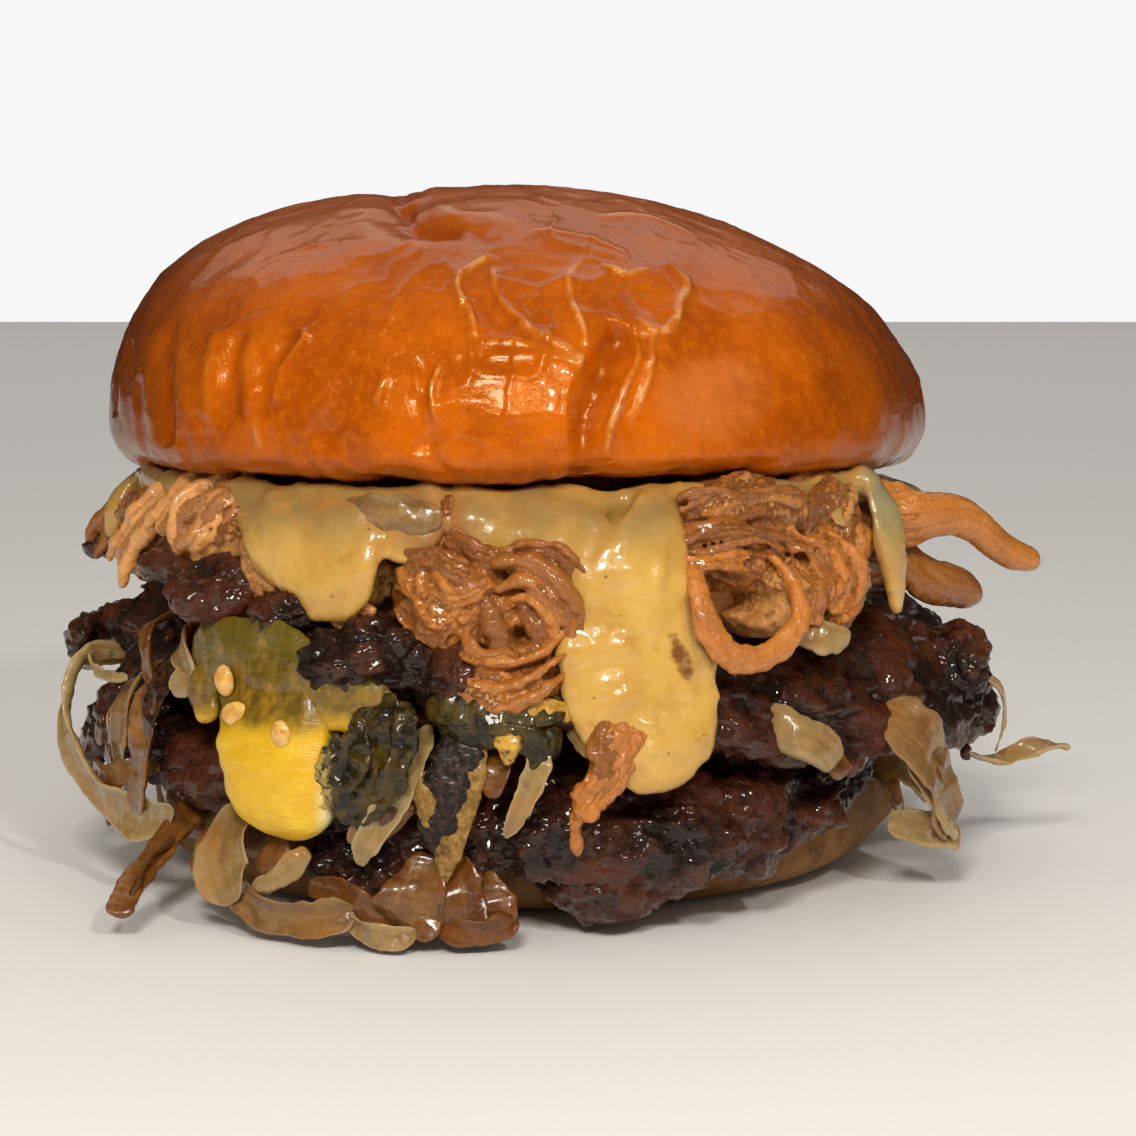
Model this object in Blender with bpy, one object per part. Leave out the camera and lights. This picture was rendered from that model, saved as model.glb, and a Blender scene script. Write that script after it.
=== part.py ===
"""Pulled pork burger: two draped patties, onions and peppers, a heap of pork, cheese sauce, two bun halves.

The origin is the middle of the bottom bun's flat underside. +Z is up and -Y is the front, where the sauce
hangs lowest. Every size below is in millimetres, and `warped_ball` turns the points into Blender's metres.
A place on the stack is given by its azimuth in degrees (0 at +X, -90 at the front), radius and height.
"""

import math
import random

import bmesh
import bpy
from mathutils import Vector, noise

MM = 0.001
CLEARANCE = 0.45  # left between a piece and what it lies against
FLAT_SHARE = 0.25  # share of a layer's section that is its flat middle
TIP_SHARE = 0.4  # share of a layer's draped edge over which it rounds off

# Top bun: a squashed dome over a cut face
BUN_RADIUS = 56.0
BUN_TOP = 90.5
BUN_WIDEST = 58.5
BUN_CUT = 51.9
BUN_EDGE = 3.2  # how far the lower edge at the front lifts above the cut face
DOME_POWER_LEFT = 2.45
DOME_POWER_RIGHT = 1.95

# Bottom bun: a flattened heel
HEEL_RADIUS = 48.5
HEEL_HEIGHT = 13.4
HEEL_FOOT = 43.0

# Layers by height of their middle, and thickness
LOWER_ONIONS = {"height": 14.9, "thick": 2.0, "fold": 40.0}
LOWER_PATTY = {"height": 20.2, "thick": 7.4, "fold": 43.0}
UPPER_ONIONS = {"height": 25.9, "thick": 3.0, "fold": 40.0}
UPPER_PATTY = {"height": 32.0, "thick": 8.0, "fold": 43.0}
PORK = {"height": 42.5, "thick": 11.4, "fold": 36.0}
SAUCE = {"height": 50.0, "thick": 2.4, "fold": 44.0}

# Reach and drop of each layer's edge at eight azimuths: right, back right, back, back left,
# left, front left, front, front right
LOWER_ONIONS_REACH = (46.0, 46.0, 47.0, 46.0, 48.0, 52.5, 50.5, 46.0)
LOWER_ONIONS_DROP = (0.2, 0.2, 0.5, 0.2, 1.0, 8.5, 7.0, 0.2)
LOWER_PATTY_REACH = (49.0, 52.0, 55.0, 53.0, 51.0, 55.0, 57.0, 54.5)
LOWER_PATTY_DROP = (1.0, 4.0, 9.0, 5.0, 2.0, 7.0, 13.0, 12.5)
UPPER_ONIONS_DROP = (0.2,) * 8
UPPER_ONIONS_REACH = (50.0, 49.0, 51.0, 49.0, 50.0, 51.0, 51.0, 50.0)
UPPER_PATTY_REACH = (65.5, 58.0, 55.0, 57.0, 50.0, 54.0, 54.5, 59.5)
UPPER_PATTY_DROP = (15.5, 8.0, 3.0, 7.0, -3.5, 0.5, 1.0, 14.0)
PORK_REACH = (51.0, 51.5, 52.5, 51.5, 50.0, 51.5, 52.5, 52.0)
SAUCE_REACH = (51.5, 52.5, 53.0, 52.0, 50.5, 53.5, 54.0, 53.0)


def clear_scene():
    for obj in list(bpy.data.objects):
        bpy.data.objects.remove(obj)


def coat(obj, colour, roughness):
    """Gives the object its own Principled material."""
    material = bpy.data.materials.new(obj.name)
    material.use_nodes = True
    shader = material.node_tree.nodes["Principled BSDF"]
    shader.inputs["Base Color"].default_value = (*colour, 1.0)
    shader.inputs["Roughness"].default_value = roughness
    shader.inputs["Metallic"].default_value = 0.0
    obj.data.materials.clear()
    obj.data.materials.append(material)


def around(values, turn):
    """The value at an azimuth in radians, eased between eight values given every 45 degrees."""
    place = (turn / math.tau * 8) % 8
    low = int(place)
    ease = (1 - math.cos(math.pi * (place - low))) / 2
    return values[low % 8] * (1 - ease) + values[(low + 1) % 8] * ease


def at(azimuth, radius, height):
    """A point of the stack, from its azimuth in degrees, radius and height."""
    turn = math.radians(azimuth)
    return Vector((radius * math.cos(turn), radius * math.sin(turn), height))


def smooth_step(value, low, high):
    share = min(1.0, max(0.0, (value - low) / (high - low)))
    return share * share * (3 - 2 * share)


def warped_ball(name, place, turns, steps):
    """A closed body: a UV sphere whose points go to place(azimuth, share of the way from pole to pole)."""
    shape = bmesh.new()
    bmesh.ops.create_uvsphere(shape, u_segments=turns, v_segments=steps, radius=1.0)
    for vert in shape.verts:
        turn = math.atan2(vert.co.y, vert.co.x)
        along = math.acos(max(-1.0, min(1.0, vert.co.z))) / math.pi
        vert.co = place(turn, along) * MM
    if shape.calc_volume(signed=True) < 0:
        bmesh.ops.reverse_faces(shape, faces=shape.faces)
    bmesh.ops.triangulate(shape, faces=shape.faces)
    mesh = bpy.data.meshes.new(name)
    shape.to_mesh(mesh)
    shape.free()
    mesh.shade_smooth()
    obj = bpy.data.objects.new(name, mesh)
    bpy.context.scene.collection.objects.link(obj)
    return obj


def layer(name, sizes, reach, drop, lump, turns=64, steps=20, seed=0.0):
    """A soft round layer whose edge hangs down.

    Half of its section runs out along a flat middle, then along a curve that bends from level to
    steep. The section is that line thickened both ways, and rounded at its tip.
    """

    def place(turn, along):
        top = along <= 0.5
        share = 2 * along if top else 2 * (1 - along)
        far = reach(turn)
        fall = drop(turn)
        fold = sizes["fold"]
        if share <= FLAT_SHARE:
            radius, height, slope = fold * share / FLAT_SHARE, sizes["height"], 0.0
            out = 0.0
        else:
            out = (share - FLAT_SHARE) / (1 - FLAT_SHARE)
            corner = fold + 0.82 * (far - fold)
            rise = [sizes["height"], sizes["height"] - 0.06 * fall, sizes["height"] - fall]
            radius = (1 - out) ** 2 * fold + 2 * out * (1 - out) * corner + out**2 * far
            height = (1 - out) ** 2 * rise[0] + 2 * out * (1 - out) * rise[1] + out**2 * rise[2]
            run = 2 * (1 - out) * (corner - fold) + 2 * out * (far - corner)
            climb = 2 * (1 - out) * (rise[1] - rise[0]) + 2 * out * (rise[2] - rise[1])
            slope = math.atan2(climb, run)
        tip = max(0.0, (out - 1 + TIP_SHARE) / TIP_SHARE)
        half = sizes["thick"] / 2 * math.sqrt(max(0.0, 1 - tip * tip))
        side = 1 if top else -1
        normal = Vector((-math.sin(slope), math.cos(slope))) * side
        tangent = Vector((math.cos(slope), math.sin(slope)))
        radius += normal.x * half
        height += normal.y * half
        point = Vector((radius * math.cos(turn), radius * math.sin(turn), height))
        push = normal * math.sqrt(max(0.0, 1 - tip * tip)) + tangent * tip
        grown = lump * smooth_step(out, 0.2, 0.7) * noise.noise(point / 7.0 + Vector((seed, 0, 0)))
        grown += 0.5 * lump * smooth_step(out, 0.4, 0.8) * noise.noise(point / 3.2 + Vector((seed, 5, 0)))
        radius += push.x * grown
        return Vector((radius * math.cos(turn), radius * math.sin(turn), height + push.y * grown))

    return warped_ball(name, place, turns, steps)


def on_route(points, along):
    """A point on a smooth curve through the given points (Catmull-Rom), at a share of its length."""
    last = len(points) - 1
    place = along * last
    low = min(int(place), last - 1)
    t = place - low
    before = points[max(low - 1, 0)]
    a = points[low]
    b = points[low + 1]
    after = points[min(low + 2, last)]
    return (
        a * 2
        + (b - before) * t
        + (before * 2 - a * 5 + b * 4 - after) * t * t
        + (a * 3 - before - b * 3 + after) * t**3
    ) / 2


def strip(points, widths, thick, turns=6, steps=10, centre=None, lump=0.25, blunt=6):
    """A flat strand or ribbon along a route, with its flat side facing away from the centre or the axis."""

    def place(turn, along):
        spot = on_route(points, along)
        ahead = on_route(points, min(1.0, along + 0.02)) - on_route(points, max(0.0, along - 0.02))
        ahead.normalize()
        out = spot - centre if centre else Vector((spot.x, spot.y, 0))
        out = out - ahead * out.dot(ahead)
        if out.length < 1e-3:
            out = ahead.orthogonal()
        out.normalize()
        side = ahead.cross(out)
        place_in = along * (len(widths) - 1)
        low = min(int(place_in), len(widths) - 2)
        width = widths[low] + (widths[low + 1] - widths[low]) * (place_in - low)
        end = math.sqrt(max(0.0, 1 - abs(2 * along - 1) ** blunt))
        bump = 1 + lump * noise.noise(spot / 2.5)
        return (
            spot
            + side * (math.cos(turn) * width / 2 * end * bump)
            + out * (math.sin(turn) * thick / 2 * end * bump)
        )

    return warped_ball("strip", place, turns, steps)


def lump_at(centre, sizes, turns=7, steps=4, rough=0.2):
    """An uneven ball of food, sizes across, deep and tall, its width turned to face outwards."""
    out = Vector((centre.x, centre.y, 0)).normalized()
    side = Vector((-out.y, out.x, 0))

    def place(turn, along):
        polar = along * math.pi
        grown = 1 + rough * noise.noise(Vector((math.cos(turn), math.sin(turn), polar)) * 1.7 + centre)
        wide = math.sin(polar) * math.cos(turn) * sizes[0] / 2
        deep = math.sin(polar) * math.sin(turn) * sizes[1] / 2
        tall = math.cos(polar) * sizes[2] / 2
        level = Vector((0, 0, tall))
        return centre + (side * wide + out * deep + level) * (grown if 0.01 < along < 0.99 else 1.0)

    return warped_ball("lump", place, turns, steps)


def knot(centre, sizes, count, seed, thick=2.6):
    """Strands laid over a ball of pork: each is a bent line across its outer side, at its own angle."""
    draw = random.Random(seed)
    out = Vector((centre.x, centre.y, 0)).normalized()
    side = Vector((-out.y, out.x, 0))
    pieces = [lump_at(centre, [0.94 * size for size in sizes])]
    for _ in range(count):
        angle = draw.uniform(-0.9, 0.9)
        away = draw.uniform(-0.65, 0.65)
        bend = draw.uniform(-0.5, 0.5)
        route = []
        for step in (-0.92, -0.45, 0.0, 0.45, 0.92):
            across = away + bend * (0.3 - step * step)
            wide = step * math.cos(angle) - across * math.sin(angle)
            tall = step * math.sin(angle) + across * math.cos(angle)
            deep = math.sqrt(max(0.0, 1 - min(1.0, wide * wide + tall * tall))) + 0.08
            spot = side * (wide * sizes[0]) + out * (deep * sizes[1]) + Vector((0, 0, tall * sizes[2]))
            route.append(centre + spot / 2)
        width = draw.uniform(2.8, 4.2)
        pieces.append(strip(route, [width, width * 1.1, width * 0.7], thick, 4, 5, centre=centre))
    return pieces


def applied(obj):
    """Makes the object's modified shape its own mesh."""
    bpy.context.view_layer.update()
    graph = bpy.context.evaluated_depsgraph_get()
    mesh = bpy.data.meshes.new_from_object(obj.evaluated_get(graph))
    obj.modifiers.clear()
    obj.data = mesh


def main_body_only(obj):
    """Drops loose scraps and sealed hollows: only the body with the largest box stays."""
    shape = bmesh.new()
    shape.from_mesh(obj.data)
    unseen = set(shape.verts)
    bodies = []
    while unseen:
        found = {unseen.pop()}
        edge = list(found)
        while edge:
            vert = edge.pop()
            for link in vert.link_edges:
                other = link.other_vert(vert)
                if other in unseen:
                    unseen.remove(other)
                    found.add(other)
                    edge.append(other)
        bodies.append(found)

    def spread(body):
        return sum(max(v.co[i] for v in body) - min(v.co[i] for v in body) for i in range(3))

    kept = max(bodies, key=spread)
    bmesh.ops.delete(shape, geom=[v for v in shape.verts if v not in kept], context="VERTS")
    shape.to_mesh(obj.data)
    shape.free()
    obj.data.shade_smooth()


def with_group(obj, pieces, operation):
    """One Boolean between the object and a collection of pieces, which is then removed."""
    group = bpy.data.collections.new("pieces")
    bpy.context.scene.collection.children.link(group)
    for piece in pieces:
        bpy.context.scene.collection.objects.unlink(piece)
        group.objects.link(piece)
    change = obj.modifiers.new("Join", "BOOLEAN")
    change.operation = operation
    change.operand_type = "COLLECTION"
    change.collection = group
    change.solver = "MANIFOLD"
    applied(obj)
    for piece in pieces:
        bpy.data.objects.remove(piece)
    bpy.data.collections.remove(group)


def fused(name, core, pieces):
    """A heap: its core with the pieces that show joined on, as one body."""
    with_group(core, pieces, "UNION")
    main_body_only(core)
    core.name = name
    return core


def swollen_copy(obj, gap):
    """A copy of the object that is larger all round by the gap."""
    mesh = obj.data.copy()
    normals = [Vector(normal.vector) for normal in mesh.vertex_normals]
    for vert, normal in zip(mesh.vertices, normals, strict=True):
        vert.co += normal * gap * MM
    copy = bpy.data.objects.new("cutter", mesh)
    bpy.context.scene.collection.objects.link(copy)
    return copy


def kept_clear(obj, neighbours, gap=CLEARANCE):
    """Cuts the object back from its neighbours."""
    with_group(obj, [swollen_copy(other, gap) for other in neighbours], "DIFFERENCE")
    main_body_only(obj)
    return obj


def dome_radius(share, turn):
    """Radius share of the bun's dome at a share of its rise. The left shoulder is fuller than the right."""
    left = (1 - math.cos(turn)) / 2
    power = DOME_POWER_RIGHT + (DOME_POWER_LEFT - DOME_POWER_RIGHT) * left
    return (1 - share**power) ** (1 / power)


def crease_depth(point):
    """Depth of the crust's main folds at a point of the dome, in millimetres.

    Each fold is a valley along a line, given by its two ends, its half width and its depth.
    """
    depth = 0.0
    for start, end, width, deep in BUN_FOLDS:
        line = end - start
        share = min(1.0, max(0.0, (point - start).dot(line) / line.length_squared))
        away = (point - (start + line * share)).length
        depth += deep * math.exp(-((away / width) ** 2))
    return depth


def make_top_bun():
    """A dome with folds in its crust, a rounded lower edge and a flat cut face."""
    edge_turn = 0.62  # share of the section where the dome ends and the edge starts

    def place(turn, along):
        front = max(0.0, -math.sin(turn))
        left_wave = 0.8 * math.sin(3 * turn + 0.6) + 0.5 * math.sin(7 * turn)
        widest = BUN_WIDEST
        if along <= edge_turn:
            angle = along / edge_turn * math.pi / 2
            rise = math.cos(angle)
            radius = BUN_RADIUS * dome_radius(rise, turn)
            height = widest + (BUN_TOP - widest) * rise
        else:
            share = (along - edge_turn) / (1 - edge_turn)
            lift = BUN_EDGE * front
            if share < 0.5:
                angle = share / 0.5 * math.pi / 2
                radius = BUN_RADIUS - 7.0 * (1 - math.cos(angle))
                height = widest - (widest - BUN_CUT - lift) * math.sin(angle)
            else:
                radius = (BUN_RADIUS - 7.0) * (1 - share) / 0.5
                height = BUN_CUT + lift * (1 - smooth_step(share, 0.5, 0.62))
        radius += left_wave * smooth_step(along, 0.3, 0.55) * (1 - smooth_step(along, 0.84, 0.95))
        point = Vector((radius * math.cos(turn), radius * math.sin(turn), height))
        if along < 0.8:
            inward = Vector((point.x, point.y, (point.z - BUN_WIDEST) * 2.2)).normalized()
            swell = 0.5 * noise.noise(point / 14.0)
            point -= inward * (crease_depth(point) - swell) * smooth_step(0.8 - along, 0, 0.15)
        return point

    obj = warped_ball("top_bun", place, 48, 16)
    coat(obj, (0.55, 0.19, 0.035), 0.28)
    return obj


BUN_FOLDS = (
    # the step across the top, from the back to the front
    (Vector((-14.0, 14.0, 89.0)), Vector((-9.0, -14.0, 87.5)), 3.4, 3.0),
    (Vector((-9.0, -14.0, 87.5)), Vector((-3.0, -36.0, 80.0)), 3.2, 2.2),
    (Vector((-3.0, -36.0, 80.0)), Vector((-5.0, -47.0, 72.0)), 3.0, 1.8),
    # the deep dent right of the middle
    (Vector((12.5, -43.0, 76.0)), Vector((9.0, -51.0, 67.0)), 3.4, 3.0),
    (Vector((9.0, -51.0, 67.0)), Vector((7.0, -55.0, 58.0)), 3.2, 2.6),
    (Vector((-5.0, -47.0, 72.0)), Vector((8.0, -51.0, 67.0)), 2.8, 1.5),
    # long shallow folds down the side
    (Vector((-38.0, -36.0, 73.0)), Vector((-40.0, -39.0, 59.0)), 3.4, 1.8),
    (Vector((-10.0, -51.0, 70.0)), Vector((-9.0, -55.0, 60.0)), 3.0, 1.3),
    (Vector((30.0, 40.0, 76.0)), Vector((24.0, 50.0, 62.0)), 3.6, 2.0),
    (Vector((-22.0, 40.0, 80.0)), Vector((-30.0, 47.0, 62.0)), 3.6, 2.0),
)


def make_bottom_bun():
    """The heel: flat underneath, bulging at its side, with a level cut face on top."""

    def place(turn, along):
        wave = 1 + 0.02 * math.sin(2 * turn + 1) + 0.012 * math.sin(5 * turn)
        reach = HEEL_RADIUS * wave + 3.2 * smooth_step(math.cos(turn), 0.3, 1.0)
        foot = HEEL_FOOT * wave
        if along < 0.3:
            radius, height = (reach - 2.0) * along / 0.3, HEEL_HEIGHT
        elif along > 0.75:
            radius, height = foot * (1 - along) / 0.25, 0.0
        else:
            angle = (along - 0.3) / 0.45 * math.pi
            inner = reach - 2.0 if angle < math.pi / 2 else foot
            radius = inner + (reach - inner) * math.sin(angle)
            height = HEEL_HEIGHT / 2 * (1 + math.cos(angle))
        return Vector((radius * math.cos(turn), radius * math.sin(turn), height))

    obj = warped_ball("bottom_bun", place, 34, 10)
    coat(obj, (0.46, 0.25, 0.09), 0.6)
    return obj


def make_patty(name, sizes, reach, drop, seed):
    obj = layer(
        name, sizes, lambda turn: around(reach, turn), lambda turn: around(drop, turn), 2.4, 36, 12, seed
    )
    coat(obj, (0.055, 0.014, 0.009), 0.35)
    return obj


def make_sauce(clear_of):
    """The poured sauce: a sheet under the bun with tongues that run down over the patties."""
    sheet = layer(
        "cheese_sauce", SAUCE, lambda turn: around(SAUCE_REACH, turn), lambda turn: 1.6, 0.8, 28, 8
    )
    tongues = [
        strip(points, widths, thick, 8, 6, blunt=4, lump=0.12) for points, widths, thick in SAUCE_TONGUES
    ]
    obj = fused("cheese_sauce", sheet, tongues)
    kept_clear(obj, clear_of)
    coat(obj, (0.72, 0.46, 0.15), 0.22)
    return obj


SAUCE_TONGUES = (
    # front: the broad tongue that reaches the lower patty
    (
        [at(-80, 50, 50), at(-79, 56, 47), at(-76, 59, 36), at(-73, 60.5, 26), at(-70, 61, 16)],
        [22, 21, 17, 18, 15],
        4.0,
    ),
    # front: the short wide lobe left of it
    ([at(-88, 50, 50), at(-88, 55.5, 47.5), at(-86, 57, 39)], [17, 15, 11], 3.4),
    # front left
    ([at(-121, 49, 50), at(-117, 55, 47), at(-112, 57.5, 38.5)], [20, 23, 15], 3.6),
    ([at(-106, 50, 50), at(-105, 56, 45), at(-104, 57.5, 38)], [11, 10, 8], 3.2),
    # right
    ([at(-36, 49, 50), at(-33, 56, 48), at(-30, 58.5, 40), at(-30, 60, 31)], [8, 8, 7, 6], 3.4),
    # back
    ([at(28, 49, 50), at(29, 55.5, 47), at(31, 57.5, 37)], [15, 14, 10], 3.4),
    ([at(72, 49, 50), at(73, 56, 47), at(75, 58.5, 36), at(76, 59.5, 27)], [18, 16, 13, 11], 3.6),
    ([at(118, 49, 50), at(117, 56, 47), at(115, 58.5, 40)], [14, 13, 10], 3.4),
    ([at(152, 49, 50), at(153, 55.5, 47), at(155, 57.5, 34)], [12, 11, 8], 3.4),
)


def make_pork(clear_of):
    """The heap of pulled pork: a low core, knots of strands round its edge, and strips that stick out."""
    core = layer(
        "pulled_pork", PORK, lambda turn: around(PORK_REACH, turn), lambda turn: 1.0, 3.6, 24, 8, 3.0
    )
    pieces = []
    for seed, (centre, sizes, count) in enumerate(PORK_KNOTS):
        pieces += knot(centre, sizes, count, seed)
    for points, widths, thick in PORK_STRIPS:
        pieces.append(strip(points, widths, thick, 5, 6))
    obj = fused("pulled_pork", core, pieces)
    kept_clear(obj, clear_of)
    coat(obj, (0.48, 0.20, 0.065), 0.4)
    return obj


PORK_KNOTS = (
    # the two knots at the front, then the chunk at the left
    (at(-93, 54.5, 42), (25, 16, 16), 4),
    (at(-87, 56.0, 34.5), (15, 13, 14), 2),
    (at(-54, 53.5, 42), (23, 16, 16), 3),
    (at(-41, 53.5, 39.5), (15, 13, 14), 2),
    (at(-144, 50.5, 44.5), (15, 13, 13), 1),
    (at(-120, 52.0, 40.5), (22, 12, 10), 1),
    # round the back
    (at(-8, 51.5, 42.5), (20, 12, 13), 1),
    (at(22, 51.5, 42), (20, 12, 13), 1),
    (at(52, 52.5, 42), (22, 13, 14), 2),
    (at(92, 53.0, 42), (24, 13, 15), 2),
    (at(132, 52.5, 42), (22, 13, 14), 1),
    (at(172, 50.5, 43.5), (20, 12, 12), 1),
)

PORK_STRIPS = (
    # the long finger and the blunt one at the right
    ([at(-24, 48, 45), at(-21, 57, 47), at(-15, 63, 44.5), at(-10, 72, 41)], [6, 5.6, 4.2, 4.6], 3.6),
    ([at(-20, 49, 42), at(-17, 58, 39.5), at(-13, 65.5, 34.5)], [6, 6, 5.2], 4.4),
    # the loop on the right knot
    (
        [
            *(at(-66, 56, 44), at(-66, 61, 38), at(-61, 63, 33.5)),
            *(at(-54, 62.5, 35), at(-52, 60, 42), at(-55, 56, 45)),
        ],
        [3.4, 3.6, 3.8, 3.6, 3.2],
        2.4,
    ),
    # slivers at the left
    ([at(-152, 46, 49), at(-153, 53, 46), at(-154, 56, 39.5)], [5, 4.2, 4.4], 3.0),
    ([at(-172, 46, 46), at(-173, 55, 45), at(-175, 59, 39)], [5, 6, 5], 3.4),
    ([at(160, 46, 45), at(163, 56, 43), at(166, 62, 40)], [5, 4.4, 3.4], 3.0),
    ([at(66, 46, 45), at(62, 57, 44), at(58, 63, 37)], [5, 4.4, 3.4], 3.0),
)


def make_pork_shred(clear_of):
    """The one shred that lies over the sauce at the front."""
    obj = strip(
        [at(-78, 62.6, 28.5), at(-78, 63.2, 21), at(-80, 62.6, 16), at(-82, 61.2, 10.5)],
        [5.5, 6.0, 4.6, 3.2],
        3.6,
        7,
        10,
        lump=0.7,
    )
    obj.name = "pork_shred"
    kept_clear(obj, clear_of)
    coat(obj, (0.50, 0.22, 0.08), 0.42)
    return obj


def make_pepper(clear_of):
    """The large piece of roasted pepper at the front left: yellow flesh that folds over green skin."""
    flesh = strip(
        [at(-122, 53, 34), at(-121, 58.5, 28), at(-120, 60.5, 20), at(-118.5, 59.5, 11.5)],
        [19, 18.5, 16.5, 11],
        4.2,
        10,
        8,
        lump=0.12,
    )
    skin = strip(
        [at(-108, 56, 30.5), at(-105, 59.5, 26), at(-105, 61.0, 20), at(-109, 60.5, 13)],
        [10, 12, 12, 9],
        4.0,
        8,
        7,
        lump=0.5,
    )
    seeds = [
        lump_at(at(azimuth, radius, height), (3.4, 1.6, 3.4), 6, 4)
        for azimuth, radius, height in ((-127.5, 61.0, 27.5), (-126, 61.8, 23.5), (-119.5, 62.9, 22.5))
    ]
    obj = fused("roasted_pepper", flesh, [skin, *seeds])
    kept_clear(obj, clear_of)
    coat(obj, (0.62, 0.42, 0.03), 0.3)
    return obj


def make_green_strip(clear_of):
    """Folded strips of charred green pepper, under the middle knot of pork."""
    upper = strip(
        [at(-103, 57, 29.5), at(-96, 60.0, 28), at(-88, 60.5, 28), at(-82, 58.5, 27.5)],
        [4.5, 6.0, 6.0, 4.0],
        2.6,
        6,
        8,
        lump=0.5,
    )
    lower = strip(
        [at(-97, 58.5, 26.5), at(-91, 60.5, 25), at(-84, 60.0, 23.0)],
        [5.0, 5.5, 3.5],
        2.4,
        6,
        6,
        lump=0.5,
    )
    obj = fused("green_pepper", upper, [lower])
    kept_clear(obj, clear_of)
    coat(obj, (0.055, 0.065, 0.012), 0.3)
    return obj


def make_charred_onion(clear_of):
    """A wide onion strip with a burnt face, that hangs in front of the lower patty."""
    obj = strip(
        [at(-93.5, 57.5, 24), at(-95, 60.0, 19), at(-95.5, 61.0, 13), at(-95.8, 60.5, 8)],
        [6.0, 8.0, 5.5, 3.0],
        2.4,
        6,
        10,
        lump=0.15,
    )
    obj.name = "charred_onion"
    kept_clear(obj, clear_of)
    coat(obj, (0.05, 0.035, 0.025), 0.6)
    return obj


def make_onions(name, sizes, reach, drop, ribbons, clear_of):
    """A bundle of soft onion: a thin core between two layers, with the ribbons that show fused on."""
    core = layer(
        name, sizes, lambda turn: around(reach, turn), lambda turn: around(drop, turn), 0.4, 24, 8, 8.0
    )
    pieces = [strip(points, widths, 2.2, 4, 6, lump=0.2) for points, widths in ribbons]
    obj = fused(name, core, pieces)
    kept_clear(obj, clear_of)
    coat(obj, (0.50, 0.30, 0.11), 0.3)
    return obj


UPPER_ONION_RIBBONS = (
    # the big loop at the left and what hangs inside it
    (
        [
            *(at(-168, 48, 26), at(-163, 60, 27.5), at(-159, 63, 19), at(-153, 60.5, 11)),
            *(at(-145, 58, 9.8), at(-138, 57, 14), at(-139, 55, 22), at(-144, 48, 26)),
        ],
        [4.5, 4.5, 4.0, 4.5, 6.0, 6.5, 5.0, 4.0],
    ),
    ([at(-165, 48, 26), at(-160, 57, 27), at(-151, 59, 26.5), at(-141, 56, 27.5)], [3.5, 3.0, 2.4, 2.5]),
    ([at(-150, 46, 26), at(-147, 55, 23.5), at(-147, 57, 15), at(-149, 56, 9)], [4.5, 4.5, 4.5, 4.0]),
    # burnt bits at the far left
    ([at(-178, 47, 26), at(-177, 57, 27), at(-174, 62, 24)], [9.0, 9.5, 7.0]),
    ([at(178, 47, 26), at(-178, 57, 22), at(-177, 59, 15)], [7.0, 8.5, 8.0]),
    # between the peppers and the burnt strip
    ([at(-104, 55, 25), at(-102, 60.0, 19.5), at(-104, 62.5, 12)], [4.5, 4.5, 3.0]),
    ([at(-87, 55, 24), at(-86, 60.5, 21), at(-88, 62.0, 15)], [4.5, 4.0, 2.0]),
    # right
    (
        [at(-40, 48, 25.8), at(-39, 58, 24.5), at(-36, 64, 20), at(-31, 65, 12), at(-27, 64.5, 6.5)],
        [5.0, 5.5, 6.0, 5.5, 5.0],
    ),
    (
        [at(-8, 48, 25.8), at(-6, 57, 20), at(-7, 65, 12), at(-5, 71, 13.5), at(-3.5, 78, 13)],
        [4.0, 3.6, 3.4, 3.2, 2.8],
    ),
    # back
    ([at(40, 47, 26), at(42, 58, 25), at(46, 62, 18), at(52, 61, 10)], [5, 5.5, 5, 3.5]),
    ([at(88, 47, 26), at(92, 58.5, 24), at(98, 61, 17)], [5, 5, 3.5]),
    ([at(128, 47, 26), at(131, 58, 25), at(136, 60.5, 16), at(142, 58, 10)], [5, 6, 5, 3.5]),
    ([at(160, 47, 26), at(160, 57, 23), at(158, 60, 14)], [6, 6, 4]),
)

LOWER_ONION_RIBBONS = (
    # spilled out at the front left, down to the table
    ([at(-136, 49.5, 13), at(-136, 54.5, 9.5), at(-134, 62, 6.5), at(-130.5, 72, 2.8)], [6, 6.5, 6, 6.5]),
    ([at(-127, 49.5, 12), at(-127, 56, 9.5), at(-125, 61.5, 6.5), at(-121, 63, 2.6)], [9, 9.5, 9, 7]),
    ([at(-126, 56, 7), at(-117, 61.0, 3.6), at(-108, 62.5, 3.0), at(-100, 62.0, 2.8)], [6, 6, 6, 5]),
    ([at(-113, 52, 6), at(-105, 59, 4.6), at(-97, 62.0, 3.6), at(-90, 61.5, 2.6)], [6, 7.5, 7, 5]),
    # right
    ([at(-24, 42, 15), at(-22, 52.5, 12), at(-24, 56, 5)], [5, 6, 5]),
    # back
    ([at(100, 42, 15), at(102, 51.5, 12.5), at(106, 58, 3)], [6, 6, 5]),
    ([at(150, 42, 15), at(150, 51.5, 12), at(146, 58, 3)], [6, 6, 5]),
    ([at(-165, 42, 15), at(-166, 51.5, 12), at(-163, 57, 4)], [7, 7, 5]),
    ([at(60, 42, 15), at(59, 51.5, 12), at(62, 57, 4)], [5, 5, 4]),
)


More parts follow.
